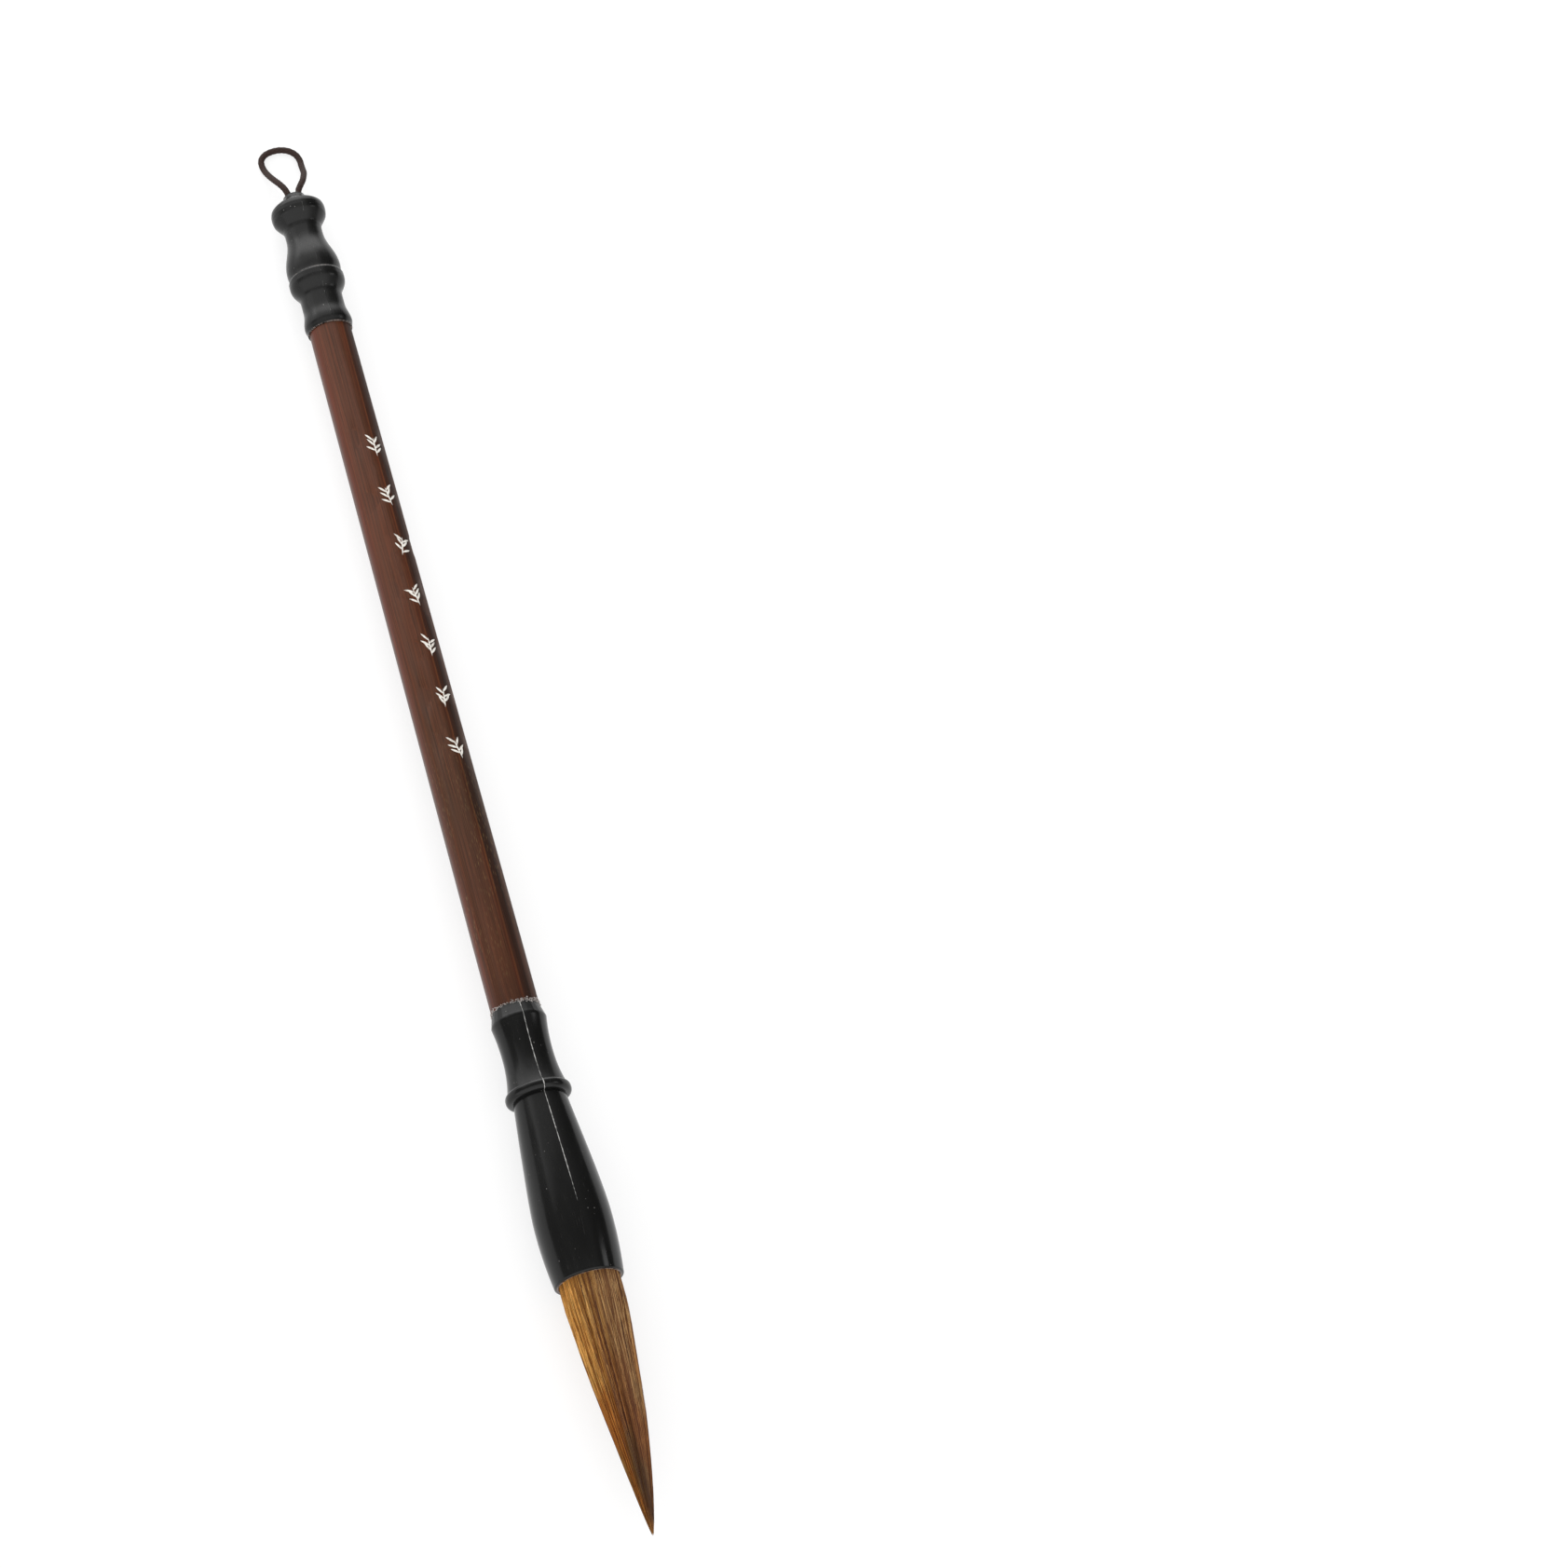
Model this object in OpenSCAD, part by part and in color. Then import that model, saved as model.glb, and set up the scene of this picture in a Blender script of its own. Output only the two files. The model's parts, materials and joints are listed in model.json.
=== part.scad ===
// Calligraphy brush with a moulded cap, a lacquered wooden shaft, a moulded ferrule, a
// pointed hair tuft and a cord loop to hang it by.
//
// The brush lies on a table at z = 0 with its tuft towards -Y and its loop towards +Y.
// Each piece is drawn upright along +Z, where z is the station: the distance from the
// cap's top face. lay() then puts it down, so that its crown and its barrel both rest.

/* [Cap] */
// Length of the cap, from its top face to the shaft
cap_l = 33.4; // [31:0.1:37]
// Widest diameter of the domed crown
crown_d = 11.5; // [11:0.1:12]
// Diameter of the waist below the crown
cap_waist_d = 7.9; // [7.4:0.1:8.6]
// Diameter of the belly and of the bead under it
bead_d = 11.7; // [11:0.1:11.8]
// Diameter of the neck between the bead and the flange
cap_neck_d = 8.86; // [8.4:0.02:9.2]
// Diameter of the flange that meets the shaft
cap_flange_d = 10.15; // [9.6:0.05:10.6]

/* [Shaft] */
// Length of the shaft between the cap and the ferrule
shaft_l = 157.5; // [130:0.5:190]
// Diameter of the shaft at the cap
shaft_top_d = 8.8; // [8.4:0.1:9.1]
// Diameter of the shaft at the ferrule
shaft_end_d = 9.78; // [9.4:0.02:9.8]
// Number of engraved sprigs
sprigs = 7; // [1:1:8]
// Distance from one sprig to the next
sprig_pitch = 11.8; // [8:0.1:13]

/* [Ferrule] */
// Length of the ferrule, from the shaft to its mouth
ferrule_l = 58.4; // [56:0.1:62]
// Diameter of the shoulder under the chamfer
shoulder_d = 11.24; // [10.8:0.02:11.6]
// Diameter of the waist below the shoulder
ferrule_waist_d = 10.17; // [10:0.01:10.4]
// Diameter of the raised ring
ring_d = 13.35; // [12.8:0.05:13.6]
// Widest diameter of the barrel
barrel_d = 15.48; // [15.2:0.02:16]

/* [Tuft] */
// Length of the hair that shows
tuft_l = 52.4; // [40:0.1:60]
// Diameter of the tuft at its root
tuft_d = 12; // [11.6:0.1:12]
// Furthest that the tuft may bend either way, which sets the room at the mouth
tuft_bend = 30; // [10:1:30]

/* [Hanging loop] */
// Diameter of the cord
cord_d = 1.25; // [1.1:0.01:1.25]

/* [Hidden] */
$fn = 64;

// Stations of the joints between the pieces
ferrule_at = cap_l + shaft_l;
mouth_at = ferrule_at + ferrule_l;
tip_at = mouth_at + tuft_l;
brush_l = tip_at;

// How the brush lies: crown and barrel both touch the table
crown_at = 0.133 * cap_l;
ring_at = ferrule_at + 18.45;
ring_half = 1.2;
barrel_top_at = ring_at + ring_half;
barrel_at = ferrule_at + 46.4;
lie_angle = atan((barrel_d - crown_d) / 2 / (barrel_at - crown_at));
mid_z = crown_d / 2 * cos(lie_angle) + (brush_l / 2 - crown_at) * sin(lie_angle);

// Glue films, and the room that one moving piece leaves for another
film = 0.1;
running_gap = 0.06;

// Tenons of the shaft, and the sockets that hold them
cap_tenon_r = 3;
cap_tenon_l = 11.3;
ferrule_tenon_r = 3.6;
ferrule_tenon_l = 22;
tenon_chamfer = 0.4;
socket_room = 0.2;
seam = 0.05;
glue_margin = 1;

// The cap's way for the cord, and the chamber that holds its knot
strand_x = 0.75;
cord_room = 0.08;
cord_hole_r = strand_x + cord_d / 2 + cord_room;
strands_from = 0.02;
knot_from = 8.4;
knot_r = 2.4;
knot_l = 4.2;
knot_laps = 3;
knot_chamber_r = 2.7;
chamber_room = 0.4;
tail_l = 4;
tail_root = 0.5;

// Engraving
engraving_depth = 0.2;
first_sprig_at = 64;
sprig_turn = 24;
stem_l = 4.6;
stem_w = 0.4;
stem_lean = 14;
leaf_l = 2.3;
leaf_w = 0.5;
leaf_root = 0.1;
leaf_spread = 46;
leaf_spread_varies = 13;
leaves = 6;
leafy_share = 0.78;
paint_below = 0.03;

// The tuft's cup in the ferrule
cup_depth = 24;
cup_floor_at = mouth_at - cup_depth;
cup_r = tuft_d / 2 + running_gap;
lip_round = 0.4;
lip_inner_round = 0.25;
ring_foot_r = 5.3;

// The fixed root of the tuft
resin_l = 2;
bed_l = 0.5;
root_r = cup_r - 0.31;
root_end_at = mouth_at - 1;
thread_d = 0.4;
thread_turns = 5;
thread_pitch = 0.44;
thread_at = cup_floor_at + 6;
thread_bite = 0.3;
thread_ring_r = root_r - thread_bite;

// The tuft bends about a point just outside the mouth, far enough to clear the lip
ball_r = tuft_d / 2;
lip_room = 0.4;
pivot_at = mouth_at + (ball_r - cup_r * cos(tuft_bend)) / sin(tuft_bend) + lip_room;
taper_power = 1.4;
taper_fullness = 0.88;
core_r = 2.6;
core_tip_at = tip_at - 9;
filler_r = 4.9;
filler_tip_at = tip_at - 20;
layer_gap = 0.02;

// The cord's route: across, beyond the cap's top face, and above the table
loop_route = [
    [-1.0, 0.8, 5.7], [-1.2, 1.7, 5.65], [-1.5, 2.7, 5.5], [-2.1, 4.2, 4.9],
    [-2.6, 5.7, 3.9], [-3.0, 7.2, 2.8], [-3.3, 8.7, 1.7], [-3.6, 10.2, 0.9],
    [-3.8, 11.7, 0.65], [-3.6, 13.0, 0.65], [-2.6, 14.1, 0.65], [-1.0, 14.7, 0.65],
    [0.8, 14.8, 0.65], [2.5, 14.3, 0.65], [3.8, 13.2, 0.65], [4.4, 11.7, 0.65],
    [4.4, 10.2, 0.9], [4.3, 8.7, 1.7], [4.1, 7.2, 2.8], [3.6, 5.7, 3.9],
    [3.0, 4.2, 4.9], [2.1, 2.7, 5.5], [1.5, 1.7, 5.65], [1.2, 0.8, 5.7]
];
cord_sides = 8;

// Lays an upright piece down along -Y, resting on crown and barrel
module lay() {
    translate([0, 0, mid_z])
        rotate([-lie_angle, 0, 0])
            translate([0, brush_l / 2, 0])
                rotate([90, 0, 0])
                    children();
}

// A turned outline runs through its stations, [z, radius], level at each of them
function eased(a, b, t) = a + (b - a) * (1 - cos(180 * t)) / 2;
function swell(p, q, steps) = [
    for (i = [0 : steps - 1])
        let (t = i / steps)
            [eased(p[1], q[1], t), p[0] + (q[0] - p[0]) * t]
];
function turned(stations, steps = 8) = [
    for (k = [0 : len(stations) - 2])
        each swell(stations[k], stations[k + 1], steps)
];

module bar(r, from, to) {
    translate([0, 0, from])
        cylinder(r = r, h = to - from);
}

module sleeve(outer_r, inner_r, from, to) {
    difference() {
        bar(outer_r, from, to);
        bar(inner_r, from - 1, to + 1);
    }
}

// ---------------------------------------------------------------- cap

boss_r = 2.1;
boss_foot_r = 2.3;
belly_r = bead_d / 2 - 0.15;
groove_r = bead_d / 2 - 0.3;
rim_r = cap_flange_d / 2 - 0.35;
cap_stations = [
    [0, boss_r], [0.006 * cap_l, boss_foot_r],
    [0.115 * cap_l, crown_d / 2], [0.15 * cap_l, crown_d / 2],
    [0.262 * cap_l, cap_waist_d / 2], [0.31 * cap_l, cap_waist_d / 2],
    [0.545 * cap_l, belly_r], [0.602 * cap_l, groove_r],
    [0.624 * cap_l, bead_d / 2], [0.66 * cap_l, bead_d / 2],
    [0.755 * cap_l, cap_neck_d / 2], [0.847 * cap_l, cap_neck_d / 2],
    [0.952 * cap_l, cap_flange_d / 2], [cap_l, rim_r]
];
cap_socket_at = cap_l - cap_tenon_l - socket_room;

module end_cap() {
    color("#1c1c1b")
        lay()
            difference() {
                rotate_extrude()
                    polygon([
                        [0, 0], each turned(cap_stations),
                        [rim_r, cap_l], [0, cap_l]
                    ]);
                bar(cord_hole_r, -1, knot_from);
                bar(knot_chamber_r, knot_from - chamber_room, cap_socket_at + 1);
                bar(cap_tenon_r + film, cap_socket_at, cap_l + 1);
            }
}

module cap_glue() {
    color("#b9b1a2")
        lay()
            sleeve(cap_tenon_r + film, cap_tenon_r, cap_l - cap_tenon_l + glue_margin, cap_l);
}

// --------------------------------------------------------- hanging cord

// One ring of the tube round point i of a route
function heading(route, i) =
    let (a = route[max(i - 1, 0)], b = route[min(i + 1, len(route) - 1)])
        (b - a) / norm(b - a);
function ring_points(route, i, r, sides) =
    let (
        ahead = heading(route, i),
        level = cross(ahead, [0, 0, 1]),
        side = level / norm(level),
        up = cross(side, ahead)
    )
        [
            for (k = [0 : sides - 1])
                let (turn = 360 * k / sides)
                    route[i] + r * (cos(turn) * side + sin(turn) * up)
        ];

module tube(route, d, sides) {
    last = len(route) - 1;
    polyhedron(
        points = [for (i = [0 : last]) each ring_points(route, i, d / 2, sides)],
        faces = [
            [for (k = [0 : sides - 1]) k],
            for (i = [0 : last - 1], k = [0 : sides - 1])
                let (a = i * sides, n = (k + 1) % sides)
                    [a + k, a + sides + k, a + sides + n, a + n],
            [for (k = [sides - 1 : -1 : 0]) last * sides + k]
        ]
    );
}

module hanging_loop() {
    boss_y = brush_l / 2 * cos(lie_angle);
    color("#3c2a26")
        tube([for (p = loop_route) p + [0, boss_y, 0]], cord_d, cord_sides);
}

module cord_strands() {
    color("#3c2a26")
        lay()
            for (x = [-strand_x, strand_x])
                translate([x, 0, 0])
                    bar(cord_d / 2, strands_from, knot_from);
}

module cord_knot() {
    lap_r = knot_l / 5;
    color("#3c2a26")
        lay() {
            for (lap = [0 : knot_laps - 1])
                translate([0, 0, knot_from + lap_r
                    + lap * (knot_l - 2 * lap_r) / (knot_laps - 1)])
                    rotate_extrude()
                        translate([knot_r - lap_r, 0])
                            circle(lap_r, $fn = 32);
            bar(knot_r - lap_r, knot_from, knot_from + knot_l);
            for (x = [-strand_x, strand_x])
                translate([x, 0, 0])
                    bar(cord_d / 2, knot_from + knot_l - tail_root, knot_from + knot_l + tail_l);
        }
}

// ---------------------------------------------------------------- shaft

// It widens evenly for nine tenths of its length, and hardly at all after that
even_at = ferrule_at - 0.1 * shaft_l;
even_r = shaft_end_d / 2 - 0.01;

module shaft_rod(inset) {
    rotate_extrude($fn = 192)
        polygon([
            [0, cap_l - cap_tenon_l], [cap_tenon_r - tenon_chamfer, cap_l - cap_tenon_l],
            [cap_tenon_r, cap_l - cap_tenon_l + tenon_chamfer], [cap_tenon_r, cap_l + seam],
            [shaft_top_d / 2 - inset, cap_l + seam],
            [even_r - inset, even_at],
            [shaft_end_d / 2 - inset, ferrule_at - seam],
            [ferrule_tenon_r, ferrule_at - seam],
            [ferrule_tenon_r, ferrule_at + ferrule_tenon_l - tenon_chamfer],
            [ferrule_tenon_r - tenon_chamfer, ferrule_at + ferrule_tenon_l],
            [0, ferrule_at + ferrule_tenon_l]
        ]);
}

// A leaf is where two equal circles overlap
module leaf(l, w) {
    bow_r = (l * l + w * w) / (4 * w);
    intersection() {
        translate([bow_r - w / 2, 0])
            circle(bow_r, $fn = 240);
        translate([w / 2 - bow_r, 0])
            circle(bow_r, $fn = 240);
    }
}

// A bamboo sprig: a stem with leaves to either side, each sprig leaning its own way
module sprig(k) {
    lean = stem_lean * sin(137 * k);
    rotate(lean)
        leaf(stem_l, stem_w);
    for (i = [0 : leaves - 1]) {
        side = (i + k) % 2 == 0 ? 1 : -1;
        spread = leaf_spread + leaf_spread_varies * sin(71 * i + 50 * k);
        rotate(lean)
            translate([0, ((i + 0.5) / leaves - 0.5) * leafy_share * stem_l])
                rotate(-side * spread)
                    translate([0, leaf_l / 2 - leaf_root])
                        leaf(leaf_l, leaf_w);
    }
}

module sprig_cutters() {
    rotate([0, 0, -sprig_turn])
        for (k = [0 : sprigs - 1])
            translate([0, 0, first_sprig_at + k * sprig_pitch])
                rotate([-90, 0, 0])
                    translate([0, 0, cap_tenon_r])
                        linear_extrude(shaft_end_d / 2)
                            sprig(k);
}

module handle_shaft() {
    color("#62443c")
        lay()
            union() {
                shaft_rod(engraving_depth);
                difference() {
                    shaft_rod(0);
                    sprig_cutters();
                }
            }
}

module sprig_paint() {
    color("#e8e4da")
        lay()
            difference() {
                intersection() {
                    sprig_cutters();
                    shaft_rod(paint_below);
                }
                shaft_rod(engraving_depth);
            }
}

// -------------------------------------------------------------- ferrule

function mixed(a, b, t) = a + (b - a) * t;
shoulder_at = ferrule_at + 2.8;
ferrule_waist_at = ferrule_at + 9.4;
waist_r = ferrule_waist_d / 2;

// From the shoulder the neck hollows quickly, then runs level at the waist
neck_outline = [
    for (i = [0 : 8])
        let (t = i / 8)
            [
                waist_r + (shoulder_d / 2 - waist_r) * pow(1 - t, 2),
                mixed(shoulder_at, ferrule_waist_at, t)
            ]
];
// From the waist it flares up to the foot of the ring
flare_h = 0.95;
flare_power = 2.3;
flare_end_at = ring_at - 1.1;
flare_outline = [
    for (i = [1 : 10])
        let (t = i / 10)
            [waist_r + flare_h * pow(t, flare_power), mixed(ferrule_waist_at, flare_end_at, t)]
];
// The ring has a full, squared-off round edge
ring_squareness = 0.8;
ring_outline = [
    for (i = [3 : 15])
        let (turn = 180 * (1 - i / 15))
            [
                ring_foot_r + (ring_d / 2 - ring_foot_r) * pow(sin(turn), ring_squareness),
                ring_at + ring_half * sign(cos(turn)) * pow(abs(cos(turn)), ring_squareness)
            ]
];
// Behind its widest place the barrel is a hyperbola, before it an arc
barrel_slope = 0.115;
barrel_bend = 0.78;
barrel_front_r = 88;
barrel_outline = concat(
    [
        for (i = [0 : 12])
            let (back = (barrel_at - barrel_top_at) * (1 - i / 12))
                [
                    barrel_d / 2 + barrel_bend
                        - norm([barrel_bend, barrel_slope * back]),
                    barrel_at - back
                ]
    ],
    [
        for (i = [1 : 8])
            let (on = (mouth_at - lip_round - barrel_at) * i / 8)
                [barrel_d / 2 - on * on / (2 * barrel_front_r), barrel_at + on]
    ]
);
lip_r = barrel_outline[len(barrel_outline) - 1][0];

module ferrule() {
    color("#1c1c1b")
        lay()
            difference() {
                rotate_extrude()
                    polygon([
                        [0, ferrule_at], [shaft_end_d / 2, ferrule_at],
                        each neck_outline,
                        each flare_outline,
                        each ring_outline,
                        each barrel_outline,
                        for (turn = [15 : 15 : 90])
                            [
                                lip_r - lip_round * (1 - cos(turn)),
                                mouth_at - lip_round * (1 - sin(turn))
                            ],
                        for (turn = [0 : 15 : 90])
                            [
                                cup_r + lip_inner_round * (1 - sin(turn)),
                                mouth_at - lip_inner_round * (1 - cos(turn))
                            ],
                        [0, mouth_at - lip_inner_round]
                    ]);
                bar(ferrule_tenon_r + film, ferrule_at - 1,
                    ferrule_at + ferrule_tenon_l + socket_room);
                bar(cup_r, cup_floor_at, mouth_at + 1);
            }
}

// The glue fills the socket and the seam, and what was squeezed out stands round the seam
// as a bead with rough lumps
module ferrule_glue() {
    bead_r = shaft_end_d / 2;
    bead_h = 0.12;
    bead_w = 0.35;
    lumps = 17;
    lump_r = 0.3;
    lump_r_varies = 0.12;
    lump_at = ferrule_at - 0.45;
    color("#b5aca4")
        lay() {
            sleeve(ferrule_tenon_r + film, ferrule_tenon_r,
                ferrule_at - seam, ferrule_at + ferrule_tenon_l - glue_margin);
            sleeve(bead_r + bead_h, ferrule_tenon_r, ferrule_at - seam, ferrule_at);
            sleeve(bead_r + bead_h, bead_r, ferrule_at - bead_w, ferrule_at);
            difference() {
                for (i = [0 : lumps - 1])
                    rotate([0, 0, 360 * i / lumps])
                        translate([bead_r - 0.05, 0, lump_at])
                            sphere(lump_r + lump_r_varies * sin(97 * i), $fn = 24);
                bar(bead_r, ferrule_at - 2, ferrule_at);
            }
        }
}

// ----------------------------------------------------- root of the tuft

module tuft_adhesive() {
    color("#c8b48c")
        lay()
            difference() {
                bar(cup_r, cup_floor_at, cup_floor_at + cup_depth / 2);
                bar(root_r, cup_floor_at + bed_l, mouth_at);
            }
}

module root_resin() {
    color("#8a5a2a")
        lay()
            bar(root_r, cup_floor_at + bed_l, cup_floor_at + bed_l + resin_l);
}

// The hair's fixed root, tied near its end, and hollowed where the tuft turns in it
module root_hair() {
    root_from = cup_floor_at + bed_l + resin_l;
    tied_l = thread_turns * thread_pitch;
    color("#7a4c22")
        lay()
            difference() {
                bar(root_r, root_from, root_end_at);
                sleeve(root_r + 1, thread_ring_r - thread_d / 2,
                    thread_at - thread_pitch / 2, thread_at + tied_l - thread_pitch / 2);
                translate([0, 0, pivot_at])
                    sphere(ball_r + running_gap);
            }
}

module root_binding_thread() {
    color("#d9cdb4")
        lay()
            for (turn = [0 : thread_turns - 1])
                translate([0, 0, thread_at + turn * thread_pitch])
                    rotate_extrude()
                        translate([thread_ring_r, 0])
                            circle(thread_d / 2, $fn = 24);
}

// -------------------------------------------------------- moving tuft

// The hair's radius, from full at the root to nothing at the tip
function tuft_r(root, from, to, station) =
    root * pow(1 - pow(max(0, (station - from) / (to - from)), taper_power), taper_fullness);

function taper_outline(root, tip_station, steps = 16) = [
    for (i = [0 : steps])
        let (
            t = i / steps,
            station = mixed(pivot_at, tip_station, t * (1.6 - 0.6 * t))
        )
            [i == steps ? 0 : tuft_r(root, pivot_at, tip_station, station), station]
];

// A layer of hair: a rounded base inside the ferrule, then a pointed taper to its tip
module hair_layer(root, tip_station) {
    base_angle = acos(root / ball_r);
    rotate_extrude()
        polygon([
            [0, pivot_at - ball_r],
            for (turn = [84 : -6 : base_angle + 3])
                [ball_r * cos(turn), pivot_at - ball_r * sin(turn)],
            [root, pivot_at - ball_r * sin(base_angle)],
            each taper_outline(root, tip_station)
        ]);
}

// The room for the layers inside a layer
module hair_hollow(root, tip_station) {
    rotate_extrude()
        polygon([
            [0, pivot_at - ball_r - 1], [root, pivot_at - ball_r - 1],
            each taper_outline(root, tip_station)
        ]);
}

module tuft_cover_hair() {
    color("#9a672f")
        lay()
            difference() {
                hair_layer(ball_r, tip_at);
                hair_hollow(filler_r, filler_tip_at);
                hair_hollow(core_r, core_tip_at);
            }
}

module tuft_filler_hair() {
    color("#b98a4c")
        lay()
            difference() {
                hair_layer(filler_r - layer_gap, filler_tip_at - layer_gap);
                hair_hollow(core_r, core_tip_at);
            }
}

module tuft_core_hair() {
    color("#6e431f")
        lay()
            hair_layer(core_r - layer_gap, core_tip_at - layer_gap);
}

end_cap();
hanging_loop();
cord_strands();
cord_knot();
cap_glue();
handle_shaft();
sprig_paint();
ferrule();
ferrule_glue();
tuft_adhesive();
root_resin();
root_hair();
root_binding_thread();
tuft_cover_hair();
tuft_filler_hair();
tuft_core_hair();
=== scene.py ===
"""Calligraphy brush: its looks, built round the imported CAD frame.

Places along the brush are stations, in millimetres from the cap's top face, as in the CAD.
place() turns a station, a turn round the axis (0 is up, a quarter turn is +X) and a radius
into a point of the frame, in metres.
"""

import json
import math

import bmesh
import bpy
import numpy as np
from mathutils import Matrix, Vector


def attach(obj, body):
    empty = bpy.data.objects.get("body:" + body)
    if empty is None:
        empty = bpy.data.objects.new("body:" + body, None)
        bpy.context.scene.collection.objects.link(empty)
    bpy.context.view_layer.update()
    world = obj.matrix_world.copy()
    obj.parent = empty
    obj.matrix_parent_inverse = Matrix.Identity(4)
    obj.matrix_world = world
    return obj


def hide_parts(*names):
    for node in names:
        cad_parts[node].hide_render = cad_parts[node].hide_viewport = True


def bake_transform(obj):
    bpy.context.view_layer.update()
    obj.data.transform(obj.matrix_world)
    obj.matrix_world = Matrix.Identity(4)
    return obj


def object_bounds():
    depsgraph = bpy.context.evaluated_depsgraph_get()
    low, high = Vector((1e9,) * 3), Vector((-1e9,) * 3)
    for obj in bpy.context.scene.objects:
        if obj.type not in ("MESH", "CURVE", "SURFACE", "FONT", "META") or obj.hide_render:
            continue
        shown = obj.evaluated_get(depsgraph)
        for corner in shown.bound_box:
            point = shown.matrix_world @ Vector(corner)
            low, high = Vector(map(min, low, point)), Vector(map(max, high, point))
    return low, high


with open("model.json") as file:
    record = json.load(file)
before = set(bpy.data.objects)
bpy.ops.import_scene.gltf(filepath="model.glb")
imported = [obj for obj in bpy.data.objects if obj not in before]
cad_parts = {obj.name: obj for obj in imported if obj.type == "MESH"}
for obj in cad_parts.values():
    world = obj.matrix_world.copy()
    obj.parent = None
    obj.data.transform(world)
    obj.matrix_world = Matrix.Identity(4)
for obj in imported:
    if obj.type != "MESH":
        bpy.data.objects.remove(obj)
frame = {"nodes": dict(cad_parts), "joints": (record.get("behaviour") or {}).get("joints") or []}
cad_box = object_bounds()

MM = 0.001

# ------------------------------------------------------------- sizes, as in the CAD

CAP_L = 33.4
SHAFT_L = 157.5
FERRULE_L = 58.4
TUFT_L = 52.4
CROWN_R = 5.75
BARREL_R = 7.74
SHAFT_END_R = 4.89
CORD_D = 1.25

FERRULE_AT = CAP_L + SHAFT_L
MOUTH_AT = FERRULE_AT + FERRULE_L
TIP_AT = MOUTH_AT + TUFT_L
CROWN_AT = 0.133 * CAP_L
RING_AT = FERRULE_AT + 18.45
BARREL_AT = FERRULE_AT + 46.4

STRAND_X = 0.75
CORD_HOLE_R = STRAND_X + CORD_D / 2 + 0.08
KNOT_FROM = 8.4
KNOT_CHAMBER_R = 2.7
SOCKET_R = 3.1
CAP_SOCKET_AT = CAP_L - 11.5
FERRULE_SOCKET_R = 3.7
FERRULE_SOCKET_END = FERRULE_AT + 22.2
CUP_R = 6.06
CUP_FLOOR_AT = MOUTH_AT - 24

# The tuft's round root sits in the cup's mouth, about the hinge, and tapers beyond it
BALL_R = 6
BEND_MOST = math.radians(30)
LIP_ROOM = 0.4
TAPER_POWER = 1.4
TAPER_FULLNESS = 0.88

# The loop's route, as in the CAD: across, beyond the cap's top face, and above the table
LOOP_ROUTE = [
    (-1.0, 0.8, 5.7), (-1.2, 1.7, 5.65), (-1.5, 2.7, 5.5), (-2.1, 4.2, 4.9),
    (-2.6, 5.7, 3.9), (-3.0, 7.2, 2.8), (-3.3, 8.7, 1.7), (-3.6, 10.2, 0.9),
    (-3.8, 11.7, 0.65), (-3.6, 13.0, 0.65), (-2.6, 14.1, 0.65), (-1.0, 14.7, 0.65),
    (0.8, 14.8, 0.65), (2.5, 14.3, 0.65), (3.8, 13.2, 0.65), (4.4, 11.7, 0.65),
    (4.4, 10.2, 0.9), (4.3, 8.7, 1.7), (4.1, 7.2, 2.8), (3.6, 5.7, 3.9),
    (3.0, 4.2, 4.9), (2.1, 2.7, 5.5), (1.5, 1.7, 5.65), (1.2, 0.8, 5.7),
]

# ---------------------------------------------------------------- the brush's axis

# The brush rests on its crown and its barrel, so its axis drops a little to the cap
LIE_ANGLE = math.atan((BARREL_R - CROWN_R) / (BARREL_AT - CROWN_AT))
ACROSS = np.array((1.0, 0.0, 0.0))
TOWARD_CAP = np.array((0.0, math.cos(LIE_ANGLE), -math.sin(LIE_ANGLE)))
OUTWARD_UP = np.array((0.0, math.sin(LIE_ANGLE), math.cos(LIE_ANGLE)))


def joint(name):
    """The frame's joint of that name."""
    return next(j for j in frame["joints"] if j["name"] == name)


# The tuft's hinge lies on the axis, so its place and station fix the axis in the frame
BEND_POINT = np.array(joint("tuft_bend")["pos_m"])
BEND_AT = MOUTH_AT + (BALL_R - CUP_R * math.cos(BEND_MOST)) / math.sin(BEND_MOST) + LIP_ROOM

# How far outward the axis lies from the frame's own origin, in mm
AXIS_UP = float(BEND_POINT @ OUTWARD_UP) / MM


def place(station, turn, radius):
    """Points of the frame, in metres, for arrays or numbers of the three."""
    station, turn, radius = np.broadcast_arrays(station, turn, radius)
    along = (BEND_AT - station)[..., None] * TOWARD_CAP
    out = np.sin(turn)[..., None] * ACROSS + np.cos(turn)[..., None] * OUTWARD_UP
    return BEND_POINT + (along + radius[..., None] * out) * MM


def brush_space(points):
    """Station, distance toward +X and distance upward of points of the frame, in mm."""
    offset = (points - BEND_POINT) / MM
    return np.stack((BEND_AT - offset @ TOWARD_CAP, offset @ ACROSS, offset @ OUTWARD_UP), -1)


# ------------------------------------------------------------------ camera and stage

CAMERA_AT = Vector((-0.213, -0.4384, 1.015))
CAMERA_LOOKS_AT = Vector((0.0663, -0.0019, 0.0057))
CAMERA_ROLL = math.radians(19.22)
CAMERA_LENS = 128.34
CAMERA_SENSOR = 36

# The sky's light is strongest low over +Y, next low over -Y, and weak overhead and at +X
SKY_LIGHT = 4.2
SKY_ALONG = [(-1.0, 0.42), (-0.35, 0.4), (-0.12, 0.34), (0.0, 0.16), (0.13, 0.067),
             (0.5, 0.085), (0.65, 0.13), (0.74, 0.26), (0.86, 0.72), (1.0, 1.0)]
SKY_ACROSS = [(-1.0, 1.0), (0.45, 0.95), (0.7, 0.5), (0.86, 0.24), (1.0, 0.2)]
SKY_SEEN = 1.0

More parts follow.
